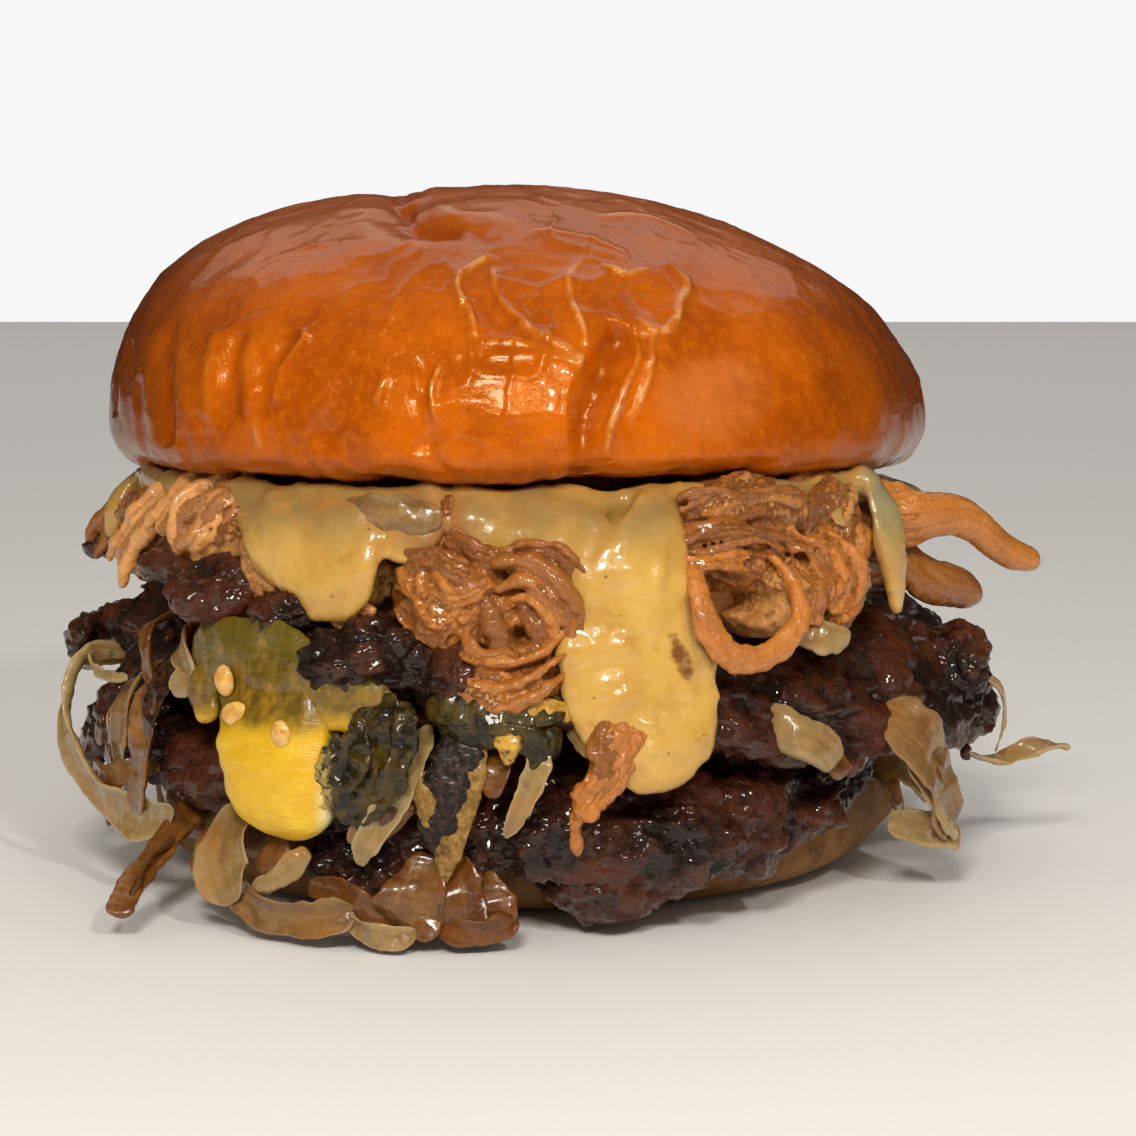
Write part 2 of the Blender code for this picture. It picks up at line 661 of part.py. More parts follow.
def main():
    clear_scene()
    crown = make_top_bun()
    heel = make_bottom_bun()
    spilled = make_onions(
        "lower_onions", LOWER_ONIONS, LOWER_ONIONS_REACH, LOWER_ONIONS_DROP, LOWER_ONION_RIBBONS, [heel]
    )
    lower = make_patty("lower_patty", LOWER_PATTY, LOWER_PATTY_REACH, LOWER_PATTY_DROP, 1.0)
    upper = make_patty("upper_patty", UPPER_PATTY, UPPER_PATTY_REACH, UPPER_PATTY_DROP, 6.0)
    kept_clear(lower, [heel, spilled])
    kept_clear(upper, [lower, spilled])
    sauce = make_sauce([lower, upper, crown])
    pork = make_pork([upper, lower, sauce, crown])
    shred = make_pork_shred([sauce, pork, lower, upper])
    pepper = make_pepper([upper, lower, sauce, pork, spilled])
    green = make_green_strip([upper, lower, sauce, pork, pepper])
    charred = make_charred_onion([lower, upper, green, pepper, sauce, pork, spilled])
    laid = [heel, lower, upper, sauce, pork, shred, pepper, green, charred, spilled]
    make_onions(
        "upper_onions", UPPER_ONIONS, UPPER_ONIONS_REACH, UPPER_ONIONS_DROP, UPPER_ONION_RIBBONS, laid
    )


main()
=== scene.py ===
import itertools
import math

import bpy
import numpy as np
from mathutils.kdtree import KDTree
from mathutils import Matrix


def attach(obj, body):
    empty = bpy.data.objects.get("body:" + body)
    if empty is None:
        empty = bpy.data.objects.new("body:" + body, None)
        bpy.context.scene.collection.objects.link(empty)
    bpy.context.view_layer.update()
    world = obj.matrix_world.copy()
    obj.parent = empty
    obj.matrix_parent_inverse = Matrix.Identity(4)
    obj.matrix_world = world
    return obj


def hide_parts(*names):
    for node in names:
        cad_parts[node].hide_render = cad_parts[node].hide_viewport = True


# A pulled pork burger. The sizes of the food are in millimetres, and makePiece turns its points into
# metres; the floor, the lamps and the camera are in metres. A place on the stack is an azimuth in
# degrees (0 right, -90 front), a radius and a height.

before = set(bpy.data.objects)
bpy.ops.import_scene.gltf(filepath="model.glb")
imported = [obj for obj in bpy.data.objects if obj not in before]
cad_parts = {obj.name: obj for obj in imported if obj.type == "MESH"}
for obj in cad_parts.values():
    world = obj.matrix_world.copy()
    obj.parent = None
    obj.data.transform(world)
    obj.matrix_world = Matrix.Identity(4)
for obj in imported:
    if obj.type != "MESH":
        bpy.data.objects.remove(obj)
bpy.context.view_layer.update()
millimetre = 0.001


def latticeValue(cells, salt):
    # one steady value from 0 to 1 for each whole-number cell
    mixed = (cells[..., 0] * 73856093) ^ (cells[..., 1] * 19349663) ^ (cells[..., 2] * 83492791)
    mixed = (mixed ^ (salt * 40503 + 977)) & 0xFFFFFFFF
    mixed = ((mixed ^ (mixed >> 15)) * 2246822519) & 0xFFFFFFFF
    mixed = ((mixed ^ (mixed >> 13)) * 3266489917) & 0xFFFFFFFF
    return ((mixed ^ (mixed >> 16)) & 0xFFFFFF) / 0xFFFFFF


def softNoise(points, size, salt):
    # -1 to 1: the eight corner values of each cell, blended by an eased share along each axis
    place = points / size
    low = np.floor(place).astype(np.int64)
    part = place - low
    ease = part**3 * (part * (part * 6 - 15) + 10)
    total = np.zeros(points.shape[:-1])
    for corner in range(8):
        step = np.array([corner & 1, (corner >> 1) & 1, (corner >> 2) & 1])
        total += np.prod(np.where(step == 1, ease, 1 - ease), axis=-1) * latticeValue(low + step, salt)
    return total * 2 - 1


def roughNoise(points, size, octaves, salt):
    # octaves of soft noise, each half the size and just over half the strength of the last
    total = 0
    for octave in range(octaves):
        total = total + 0.55**octave * softNoise(points + 31.7 * octave, size / 2**octave, salt + octave)
    return total


def cellNoise(points, size, salt):
    # distances to the nearest and the next of one scattered centre per cell
    place = points / size
    low = np.floor(place).astype(np.int64)
    first = np.full(points.shape[:-1], 9.0)
    second = first.copy()
    for step in itertools.product((-1, 0, 1), repeat=3):
        cell = low + np.array(step)
        centre = cell + np.stack([latticeValue(cell, salt + axis) for axis in (1, 2, 3)], axis=-1)
        away = np.linalg.norm(place - centre, axis=-1)
        second = np.minimum(second, np.maximum(first, away))
        first = np.minimum(first, away)
    return first, second


def at(*places):
    # points from an azimuth in degrees, a radius and a height each
    turns = [math.radians(azimuth) for azimuth, _, _ in places]
    return [(radius * math.cos(turn), radius * math.sin(turn), height)
            for turn, (_, radius, height) in zip(turns, places)]


def front(*places):
    # points on the front, from how far right each is, its height and its radius
    return [(x, -math.sqrt(max(0, radius * radius - x * x)), height) for x, height, radius in places]


def withThird(flat, third):
    # flat places with one more value, so that the noise on each set of places differs
    return np.concatenate([flat, np.full((*flat.shape[:-1], 1), third)], axis=-1)


def around(radius, turn, height):
    # points on rings about the upright axis
    return np.stack([radius * np.cos(turn), radius * np.sin(turn), height + 0 * turn], axis=-1)


def smoothStep(value, low, high):
    share = np.clip((value - low) / (high - low), 0, 1)
    return share * share * (3 - 2 * share)


def ringTurns(columns):
    return np.linspace(0, math.tau, columns, endpoint=False)[None, :]


def unit(vectors):
    return vectors / np.maximum(np.linalg.norm(vectors, axis=-1, keepdims=True), 1e-9)


def curveThrough(points, steps):
    # a Catmull-Rom curve: a cubic between each two points whose slope is half the span of their neighbours
    points = np.array(points, float)
    last = len(points) - 1
    place = np.linspace(0, last, steps)
    low = np.minimum(place.astype(int), last - 1)
    t = (place - low)[:, None]
    before, a, b, after = (points[np.clip(low + k, 0, last)] for k in (-1, 0, 1, 2))
    return (2 * a + (b - before) * t + (2 * before - 5 * a + 4 * b - after) * t**2
            + (3 * a - before - 3 * b + after) * t**3) / 2


def spread(values, steps):
    # values given at even spaces, eased out to a number of steps
    values = np.array(values, float)
    place = np.linspace(0, len(values) - 1, steps)
    low = np.minimum(place.astype(int), len(values) - 2)
    share = place - low
    return values[low] + (values[low + 1] - values[low]) * share * share * (3 - 2 * share)


def aroundStack(values, turn):
    # the value at an azimuth, eased between eight values given every 45 degrees
    place = (turn / math.tau * 8) % 8
    low = place.astype(int)
    ease = (1 - np.cos(math.pi * (place - low))) / 2
    values = np.array(values, float)
    return values[low % 8] * (1 - ease) + values[(low + 1) % 8] * ease


def closedTubes(rings, lay, tint, edge):
    # rings (pieces, rows, columns, 3): each piece is a tube, closed by a point at each end. lay is the
    # place its fibres are read at, tint its tone (on the bun and the mince, the painted shade and light)
    # and edge how near its rim it is
    pieces, rows, columns, _ = rings.shape
    ends = rings[:, [0, -1]].mean(axis=2)
    points = np.concatenate([rings.reshape(pieces, -1, 3), ends], axis=1)
    row, column = np.meshgrid(np.arange(rows - 1), np.arange(columns), indexing="ij")
    beside = (column + 1) % columns
    quads = np.stack([row * columns + column, row * columns + beside,
                      (row + 1) * columns + beside, (row + 1) * columns + column], axis=-1).reshape(-1, 4)
    ring = np.arange(columns)
    after = (ring + 1) % columns
    start, end = rows * columns, rows * columns + 1
    last = (rows - 1) * columns
    tris = np.concatenate([np.stack([np.full(columns, start), after, ring], axis=-1),
                           np.stack([np.full(columns, end), last + ring, last + after], axis=-1)])
    shift = (np.arange(pieces) * (rows * columns + 2))[:, None, None]
    surface = {"points": points.reshape(-1, 3), "quads": (quads + shift).reshape(-1, 4),
               "tris": (tris + shift).reshape(-1, 3)}

    def perPoint(values, width):
        values = np.broadcast_to(values, (pieces, rows, columns, width))
        tips = values[:, [0, -1]].mean(axis=2)
        return np.concatenate([values.reshape(pieces, -1, width), tips], axis=1).reshape(-1, width)

    surface["lay"] = perPoint(lay, 3)
    surface["tint"] = perPoint(tint[..., None], 1)
    surface["edge"] = perPoint(edge[..., None], 1)
    return facedOut(surface)


def body(points, tint, edge):
    # one closed piece whose fibres follow its own places
    tint, edge = (np.broadcast_to(values, (1, *points.shape[:-1])) for values in (tint, edge))
    return closedTubes(points[None], points[None], tint, edge)


def facedOut(surface):
    # turned round where the signed volume (a sixth of each triangle's triple product, summed) is negative
    points, quads, tris = surface["points"], surface["quads"], surface["tris"]
    corners = np.concatenate([quads[:, [0, 1, 2]], quads[:, [0, 2, 3]], tris])
    a, b, c = (points[corners[:, k]] for k in range(3))
    if np.einsum("ij,ij->i", a, np.cross(b, c)).sum() < 0:
        surface["quads"], surface["tris"] = quads[:, ::-1], tris[:, ::-1]
    return surface


def joined(surfaces):
    count = 0
    quads, tris = [], []
    for surface in surfaces:
        quads.append(surface["quads"] + count)
        tris.append(surface["tris"] + count)
        count += len(surface["points"])
    merged = {key: np.concatenate([surface[key] for surface in surfaces])
              for key in ("points", "lay", "tint", "edge")}
    return {**merged, "quads": np.concatenate(quads), "tris": np.concatenate(tris)}


def makePiece(name, surface, finish, replaced=None):
    mesh = bpy.data.meshes.new(name)
    quads, tris = surface["quads"], surface["tris"]
    # nothing sinks below the table
    points = np.maximum(surface["points"], (-np.inf, -np.inf, 0)) * millimetre
    mesh.vertices.add(len(points))
    mesh.vertices.foreach_set("co", points.ravel())
    mesh.loops.add(quads.size + tris.size)
    mesh.loops.foreach_set("vertex_index", np.concatenate([quads.ravel(), tris.ravel()]).astype(np.int32))
    mesh.polygons.add(len(quads) + len(tris))
    starts = np.concatenate([np.arange(len(quads)) * 4, quads.size + np.arange(len(tris)) * 3])
    mesh.polygons.foreach_set("loop_start", starts.astype(np.int32))
    mesh.update(calc_edges=True)
    for key, kind, field in (("lay", "FLOAT_VECTOR", "vector"), ("tint", "FLOAT", "value"),
                             ("edge", "FLOAT", "value")):
        layer = mesh.attributes.new(key, kind, "POINT")
        layer.data.foreach_set(field, surface[key].ravel().astype(np.float32))
    mesh.shade_smooth()
    piece = bpy.data.objects.new(name, mesh)
    bpy.context.scene.collection.objects.link(piece)
    mesh.materials.append(finish)
    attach(piece, "root")
    if replaced:
        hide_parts(replaced)
    print(name, len(quads) * 2 + len(tris), "triangles")


def ribbons(routes, widths, thick, columns=10, curl=0.0, wrap=0.0, roll=0, blunt=6, square=1.0,
            rough=0.0, roughSize=2.0, jag=0.0, tint=None, salt=0):
    # Strips along routes (pieces, steps, 3). At each step the section is a flattened round, its half
    # width along the side direction and its half thickness along the outward one. curl lifts both edges,
    # wrap bends them back round a radius, roll turns the section, jag frays its edges, and both ends
    # close by the root of 1 - |2 along - 1|^blunt.
    pieces, steps, _ = routes.shape
    ahead = unit(np.gradient(routes, axis=1))
    outward = routes * (1, 1, 0)
    outward = unit(outward - ahead * np.sum(outward * ahead, axis=-1, keepdims=True))
    side = np.cross(ahead, outward)
    angle = np.broadcast_to(roll, (pieces, steps))[..., None]
    side, outward = (side * np.cos(angle) + outward * np.sin(angle),
                     outward * np.cos(angle) - side * np.sin(angle))
    along = np.linspace(0, 1, steps)
    close = np.sqrt(np.maximum(0, 1 - np.abs(2 * along - 1) ** blunt))[None, :, None]
    turn = np.linspace(0, math.tau, columns, endpoint=False)
    across = np.sign(np.cos(turn)) * np.abs(np.cos(turn)) ** square
    deep = np.sign(np.sin(turn)) * np.abs(np.sin(turn)) ** square
    widths = np.broadcast_to(widths, (pieces, steps))[..., None]
    thick = np.broadcast_to(thick, (pieces, steps))[..., None]
    length = np.cumsum(np.linalg.norm(np.diff(routes, axis=1, prepend=routes[:, :1]), axis=-1),
                       axis=1)[..., None]
    seeds = np.arange(pieces)[:, None, None] * 7.31 + salt
    frays = np.stack(np.broadcast_arrays(length, np.sign(across) * 9.0 + seeds, seeds), axis=-1)
    x = widths / 2 * close * (1 + jag * roughNoise(frays, 2.4, 2, salt + 5)) * across
    y = thick / 2 * close * deep + curl * widths * (across**2 - 0.4) * close
    if wrap:
        y = y - x**2 / (2 * wrap)
    rings = routes[:, :, None] + side[:, :, None] * x[..., None] + outward[:, :, None] * y[..., None]
    lift = roughNoise(rings + seeds[..., None], roughSize, 3, salt)[..., None]
    away = side[:, :, None] * np.cos(turn)[:, None] + outward[:, :, None] * np.sin(turn)[:, None]
    rings = rings + away * lift * rough * close[..., None]
    lay = np.stack(np.broadcast_arrays(x, length, seeds * 3), axis=-1)
    if tint is None:
        tint = latticeValue(np.stack([np.arange(pieces)] * 3, axis=-1), salt + 11)
    tint = np.broadcast_to(np.array(tint, float).reshape(-1, 1, 1), x.shape)
    return closedTubes(rings, lay, tint, np.broadcast_to(np.abs(across), x.shape))


def ribbon(points, widths, thick, steps=40, **rest):
    # one strip through a few points; its widths and thicknesses are spread along it
    return ribbons(curveThrough(points, steps)[None], spread(widths, steps)[None],
                   spread(np.atleast_1d(thick) if np.ndim(thick) else [thick, thick], steps)[None], **rest)


def lumps(centres, sizes, columns, rows, rough, salt, tint=0.5):
    # round pieces: a ball's rings, scaled, turned to face outwards and pushed in and out by noise
    centres, sizes = np.array(centres, float), np.array(sizes, float)
    polar = np.linspace(0.12, math.pi - 0.12, rows)[:, None]
    turn = ringTurns(columns)
    ball = around(np.sin(polar), turn, np.cos(polar))
    out = unit(centres * (1, 1, 0) + (1e-6, 0, 0))
    side = np.cross(out, (0, 0, 1.0))
    grown = 1 + rough * softNoise(ball[None] + centres[:, None, None], 0.9, salt)
    local = ball[None] * grown[..., None] * sizes[:, None, None] / 2
    rings = (centres[:, None, None] + side[:, None, None] * local[..., :1]
             + out[:, None, None] * local[..., 1:2] + np.array((0, 0, 1.0)) * local[..., 2:])
    tint = np.broadcast_to(np.array(tint, float).reshape(-1, 1, 1), grown.shape)
    return closedTubes(rings, rings, tint, np.zeros(grown.shape))


class Value:
    # a socket that can stand in a sum: each operator adds one Math node
    def __init__(self, tree, socket):
        self.tree = tree
        self.socket = socket

    def maths(self, operation, first, second):
        return self.tree.node("Math", {"operation": operation}, {0: first, 1: second})

    def __add__(self, other):
        return self.maths("ADD", self, other)

    def __sub__(self, other):
        return self.maths("SUBTRACT", self, other)

    def __rsub__(self, other):
        return self.maths("SUBTRACT", other, self)

    def __mul__(self, other):
        return self.maths("MULTIPLY", self, other)

    __radd__ = __add__
    __rmul__ = __mul__

    def step(self, low, high):
        # 0 below low, 1 above high, eased between
        return self.tree.node("MapRange", {"interpolation_type": "SMOOTHSTEP"},
                              {"Value": self, "From Min": low, "From Max": high})

    def squared(self, middle, share):
        # share times the square of its distance from the middle
        return (self - middle) * (self - middle) * share


class Tree:
    # a node tree, and the one method that adds to it: a type, its settings, its sockets, and what it gives
    def __init__(self, tree):
        self.tree = tree

    def node(self, kind, settings, values, output=0):
        node = self.tree.nodes.new("ShaderNode" + kind)
        for key, value in settings.items():
            setattr(node, key, value)
        for key, value in values.items():
            self.plug(value, node.inputs[key])
        return Value(self, node.outputs[output] if node.outputs else None)

    def plug(self, value, socket):
        if isinstance(value, Value):
            self.tree.links.new(value.socket, socket)
        else:
            socket.default_value = value


class Finish(Tree):
    # one Principled material: constants on the shader's own sockets, a running colour that paint() lays
    # more over, and the textures that vary it
    def __init__(self, name, constants):
        self.material = bpy.data.materials.new(name)
        self.material.use_nodes = True
        super().__init__(self.material.node_tree)
        self.shader = self.tree.nodes["Principled BSDF"]
        for key, value in constants.items():
            self.shader.inputs[key].default_value = value

    def places(self, scale=(1, 1, 1)):
        # object coordinates in millimetres, scaled
        coords = self.node("TexCoord", {}, {}, "Object")
        scale = tuple(share / millimetre for share in scale)
        return self.node("Mapping", {}, {"Vector": coords, "Scale": scale})

    def layPlaces(self, scale):
        # the strip's own coordinates: across and along in millimetres
        coords = self.node("Attribute", {"attribute_name": "lay"}, {}, "Vector")
        return self.node("Mapping", {}, {"Vector": coords, "Scale": scale})

    def own(self, name):
        return self.node("Attribute", {"attribute_name": name}, {}, "Fac")

    def axis(self, vector, letter):
        return self.node("SeparateXYZ", {}, {"Vector": vector}, letter)

    def noise(self, places, size, detail, roughness=0.5):
        return self.node("TexNoise", {}, {"Vector": places, "Scale": 1 / size, "Detail": detail,
                                          "Roughness": roughness})

    def cells(self, places, size):
        return self.node("TexVoronoi", {}, {"Vector": places, "Scale": 1 / size})

    def mix(self, share, first, second):
        first, second = (entry if isinstance(entry, Value) else (*entry, 1) for entry in (first, second))
        return self.node("Mix", {"data_type": "RGBA"}, {0: share, 6: first, 7: second}, 2)

    def paint(self, share, colour):
        self.colour = self.mix(share, self.colour, colour)

    def bump(self, height, distance, strength, under=None):
        values = {"Height": height, "Distance": distance * millimetre, "Strength": strength}
        if under:
            values["Normal"] = under
        return self.node("Bump", {}, values)

    def feed(self, links):
        for key, value in {"Base Color": self.colour, **links}.items():
            self.plug(value, self.shader.inputs[key])
        return self.material


# the top bun
topBun = {
    "radius": 56, "top": 90, "widest": 58.5, "cut": 51.9, "frontLift": 3.2,
    "leftPower": 2.45, "rightPower": 1.95, "columns": 500,
    # shares of the way from its top to the middle of its cut face where the dome and the crust end
    "domeEnd": 0.62, "crustEnd": 0.84, "roll": 7,
}

# folds of the crust: points along it, half width, depth inwards (a rise is negative), lip beside it
bunFolds = [
    # the step over the top: the front lobe's edge, with a valley behind it
    ([(-16, 16, 89.5), (-14.2, -17.8, 88.8), (-11.9, -30.2, 86.1), (-5, -33.9, 85.2), (-2.1, -38.2, 83.3)],
     2.6, 1.5, 0.3),
    ([(-14.2, -17.8, 88.8), (6.4, -14, 89.5), (18, -9, 88.5)], 4, 0.5, 0.12),
    ([(-16, 14, 89.5), (-14.6, -16.8, 88.9), (-12.2, -28.8, 86.6), (-5.4, -32.8, 85.6), (-2.6, -36.6, 84)],
     1, 0.81, 0),
    ([(-14.2, -30.6, 86.4), (-11.8, -32.2, 85.8)], 0.59, -0.36, 0),
    ([(10, -26, 87), (15, -22, 87.2), (20, -21, 86.8), (24, -24, 85.6)], 0.8, -0.29, 0),
    ([(3, -33, 85.8), (10, -34, 85.2), (15, -36.5, 83.4)], 0.66, -0.26, 0),
    # raised wrinkles around the middle
    ([(-2.1, -40.3, 82.4), (-5.3, -44.1, 79.8), (-5.8, -46.5, 77.9), (-4.5, -49.2, 75.4),
      (-3.6, -51.8, 72.3)],
     0.49, -0.61, 0),
    ([(-1.6, -42.7, 80.6), (-0.5, -48.6, 76.1), (3.3, -50.9, 73.2), (7.3, -52, 71), (9.5, -52.8, 68.8)],
     0.47, -0.61, 0),
    ([(-3.6, -52, 72), (2.2, -52.3, 71.4), (6, -52.7, 70.1), (9.2, -53, 68.6)], 0.53, -0.45, 0),
    ([(-3.2, -46.5, 77.5), (-2.2, -49.5, 74.8), (0.8, -51, 73)], 2.2, 0.62, 0),
    ([(8.9, -38.3, 82.3), (7.6, -43, 79.7), (7.9, -47, 76.6), (9.2, -49.8, 73.5), (10.1, -51.5, 71)],
     0.43, -0.64, 0),
    ([(5.2, -43, 80), (4.6, -46.5, 77.2), (6.2, -49.6, 74)], 2.2, 0.5, 0),
    # the deep dent and its two lips
    ([(14, -48.2, 73.9), (12.2, -51.6, 70), (10.6, -53.6, 66.5), (9.6, -55, 61.2), (9.2, -55.2, 56)],
     2, 2.09, 0),
    ([(13.4, -47.6, 74.4), (9.7, -51.9, 70.4), (7.9, -54, 66.6), (6.9, -55.4, 60.3)], 0.47, -0.39, 0),
    ([(15, -48, 74), (15.1, -51.2, 69.6), (13.6, -53.2, 66.5), (12.4, -54.6, 62.1), (12, -54.9, 57.9)],
     0.43, -0.74, 0),
    ([(17.1, -47.5, 73.4), (17.2, -49.9, 70.3), (16.4, -52.1, 66.5), (14.2, -54, 62)], 0.47, -0.39, 0),
    # the crinkles right of the top
    ([(11, -39.4, 81.4), (14.7, -40.2, 80), (17.3, -38, 80.6)], 0.42, -0.52, 0),
    ([(19.3, -36.2, 80.9), (22, -39.2, 78.3), (20.4, -44.8, 74.6), (18.4, -47.2, 73), (15.1, -47, 74.7)],
     0.43, -0.58, 0),
    ([(15, -42.5, 78.3), (17.2, -44.2, 76.3), (17.8, -41, 78.2)], 1.8, 0.5, 0),
    # a flatter patch that shines
    ([(-4, -52.4, 66.4), (0.5, -52.6, 66)], 6.5, 0.3, 0),
    # small wrinkles left of the middle
    ([(-8.2, -52.9, 69.7), (-9.1, -54.1, 66.6), (-8.1, -55.2, 62.2)], 0.42, -0.58, 0),
    ([(-11.5, -52.2, 70.1), (-10.8, -53.9, 66)], 0.47, -0.32, 0),
    ([(-10.4, -52.4, 70.4), (-10, -54.6, 64), (-8.5, -55.4, 59.5)], 1.8, 0.56, 0),
    ([(-23.9, -46.4, 72.6), (-26.9, -47.1, 68.8), (-27.8, -48.1, 64.2)], 0.6, -0.6, 0),
    ([(-25.5, -45.4, 72.6), (-28.6, -46.1, 68.2), (-29.4, -47.2, 62)], 1.7, 0.95, 0),
    ([(-33.1, -40.8, 72.3), (-34.3, -42.6, 67.8), (-33.4, -44.8, 61.3)], 1.5, 1.4, 0.4),
    ([(-29.7, -47.5, 58.2), (-30.6, -47, 62.4)], 0.53, -0.39, 0),
    ([(-14.1, -52.8, 68.2), (-14.8, -53.1, 64.9)], 0.53, -0.32, 0),
    ([(-43.7, -29.7, 73.1), (-42.9, -35.1, 63.7), (-42.4, -36.6, 58)], 1.8, 1, 0.28),
    ([(-22, -48, 62), (-17, -51, 57)], 1.8, 0.56, 0),
    ([(-50.2, -18, 70), (-52, -17, 60)], 2.2, 0.85, 0.28),
    # creases that run down into the torn lower edge
    ([(-47.5, -27.5, 66), (-47.5, -29.5, 60), (-46.6, -30, 54.5)], 1.2, 0.42, 0.06),
    ([(-39.8, -39.2, 62), (-39.6, -39.6, 58), (-38.8, -39.8, 54)], 0.9, 0.46, 0.06),
    ([(-24.6, -49.2, 60), (-24, -49.9, 57), (-23.4, -49.9, 53.5)], 0.8, 0.42, 0.06),
    ([(-21, -51, 58.5), (-18, -52, 56.5), (-14, -53.2, 56)], 0.53, -0.33, 0),
    ([(-10.2, -54.8, 61), (-7.8, -55.4, 57.5), (-4.4, -55.2, 54.5)], 1.1, 0.51, 0.06),
    ([(4.8, -55.6, 61), (5, -55.9, 57), (4.4, -55.4, 54)], 0.9, 0.32, 0.06),
    ([(9.2, -55.2, 57), (8.6, -55, 53.6)], 1.6, 0.84, 0.06),
    ([(21.5, -51.6, 60), (22.6, -51.2, 55)], 1.2, 0.32, 0.06),
    ([(31, -46, 63), (32, -46.5, 56)], 1.4, 0.37, 0.12),
    ([(-54.6, -6, 66), (-55.4, -6, 57)], 1.4, 0.37, 0.06),
    # the right side's faint long folds
    ([(36, -31, 76), (43, -33, 64), (44, -34, 57)], 2.2, 0.31, 0.12),
    ([(43.2, -15, 76.6), (50, -20, 65)], 1.6, 0.31, 0.12),
    # the back
    ([(30, 40, 76), (26, 48, 66), (24, 50, 57)], 2.2, 1.44, 0.3),
    ([(-22, 40, 80), (-27, 45, 70), (-30, 47, 60)], 2.4, 1.44, 0.3),
    ([(-16, 16, 89.5), (-8, 30, 86), (4, 42, 80)], 2.8, 1.15, 0.24),
    ([(4, 42, 80), (12, 50, 70), (8, 54, 60)], 1.6, 0.74, 0.18),
    ([(4, 42, 80), (-6, 50, 71)], 0.59, -0.33, 0),
    ([(-2, 52, 66), (3, 54, 60)], 1.4, 0.56, 0.12),
    ([(46, 26, 68), (50, 24, 60)], 1.4, 0.62, 0.18),
    ([(-48, 26, 70), (-51, 22, 60)], 1.6, 0.74, 0.18),
    ([(-36, 38, 76), (-41, 38, 66)], 0.59, -0.33, 0),
]


def foldDepth(points, outward):
    # Summed over folds: a bell across each fold's line (deep * exp(-(away/width)^2)) less its lips beside
    # it. The distance leaves out up to 4 mm straight into the crust, so a line needn't lie exactly on it.
    depth = np.zeros(points.shape[:-1])
    strength = 0.9 + 0.55 * softNoise(points, 4.5, 9)
    points = points + 0.7 * np.stack([softNoise(points, 5, 30 + k) for k in range(3)], axis=-1)
    for line, width, deep, lip in bunFolds:
        near = np.full(points.shape[:-1], 1e9)
        taper = np.zeros(points.shape[:-1])
        curve = curveThrough(line, 7 * len(line))
        for number, (start, end) in enumerate(zip(curve[:-1], curve[1:])):
            run = end - start
            share = np.clip(((points - start) @ run) / (run @ run), 0, 1)
            offset = points - start - share[..., None] * run
            inward = np.clip(np.sum(offset * outward, axis=-1), -4, 4)
            away = np.sqrt(np.maximum(0, np.sum(offset**2, axis=-1) - inward**2))
            place = (number + share) / (len(curve) - 1)
            taper = np.where(away < near, np.sqrt(np.maximum(0, 1 - np.abs(2 * place - 1) ** 3)), taper)
            near = np.minimum(near, away)
        depth += taper * strength * deep * np.exp(-((near / width) ** 2))
        if deep < 0:
            depth += 0.45 * taper * strength * deep * np.exp(-((near / width / 3) ** 2))
        if lip:
            depth -= taper * lip * np.exp(-(((near - 2.1 * width) / width) ** 2))
    return depth


def crinkles(points):
    # sharp crests where soft noise passes through zero, (1 - |noise|)^5, strongest at the front's middle
    warped = points + 1.6 * np.stack([softNoise(points, 6, 34 + k) for k in range(3)], axis=-1)
    crest = (1 - np.abs(softNoise(warped, 8.5, 37))) ** 5 + 0.5 * (1 - np.abs(softNoise(warped, 4.2,
                                                                                        38))) ** 5
    x, y, z = points[..., 0], points[..., 1], points[..., 2]
    middle = np.exp(-(((x - 4) / 15) ** 2) - ((z - 76) / 9.5) ** 2)
    left = 0.5 * np.exp(-(((x + 24) / 14) ** 2) - ((z - 68) / 10) ** 2)
    return (crest - 0.35) * (0.18 + 0.66 * (middle + left) * (y < -12))


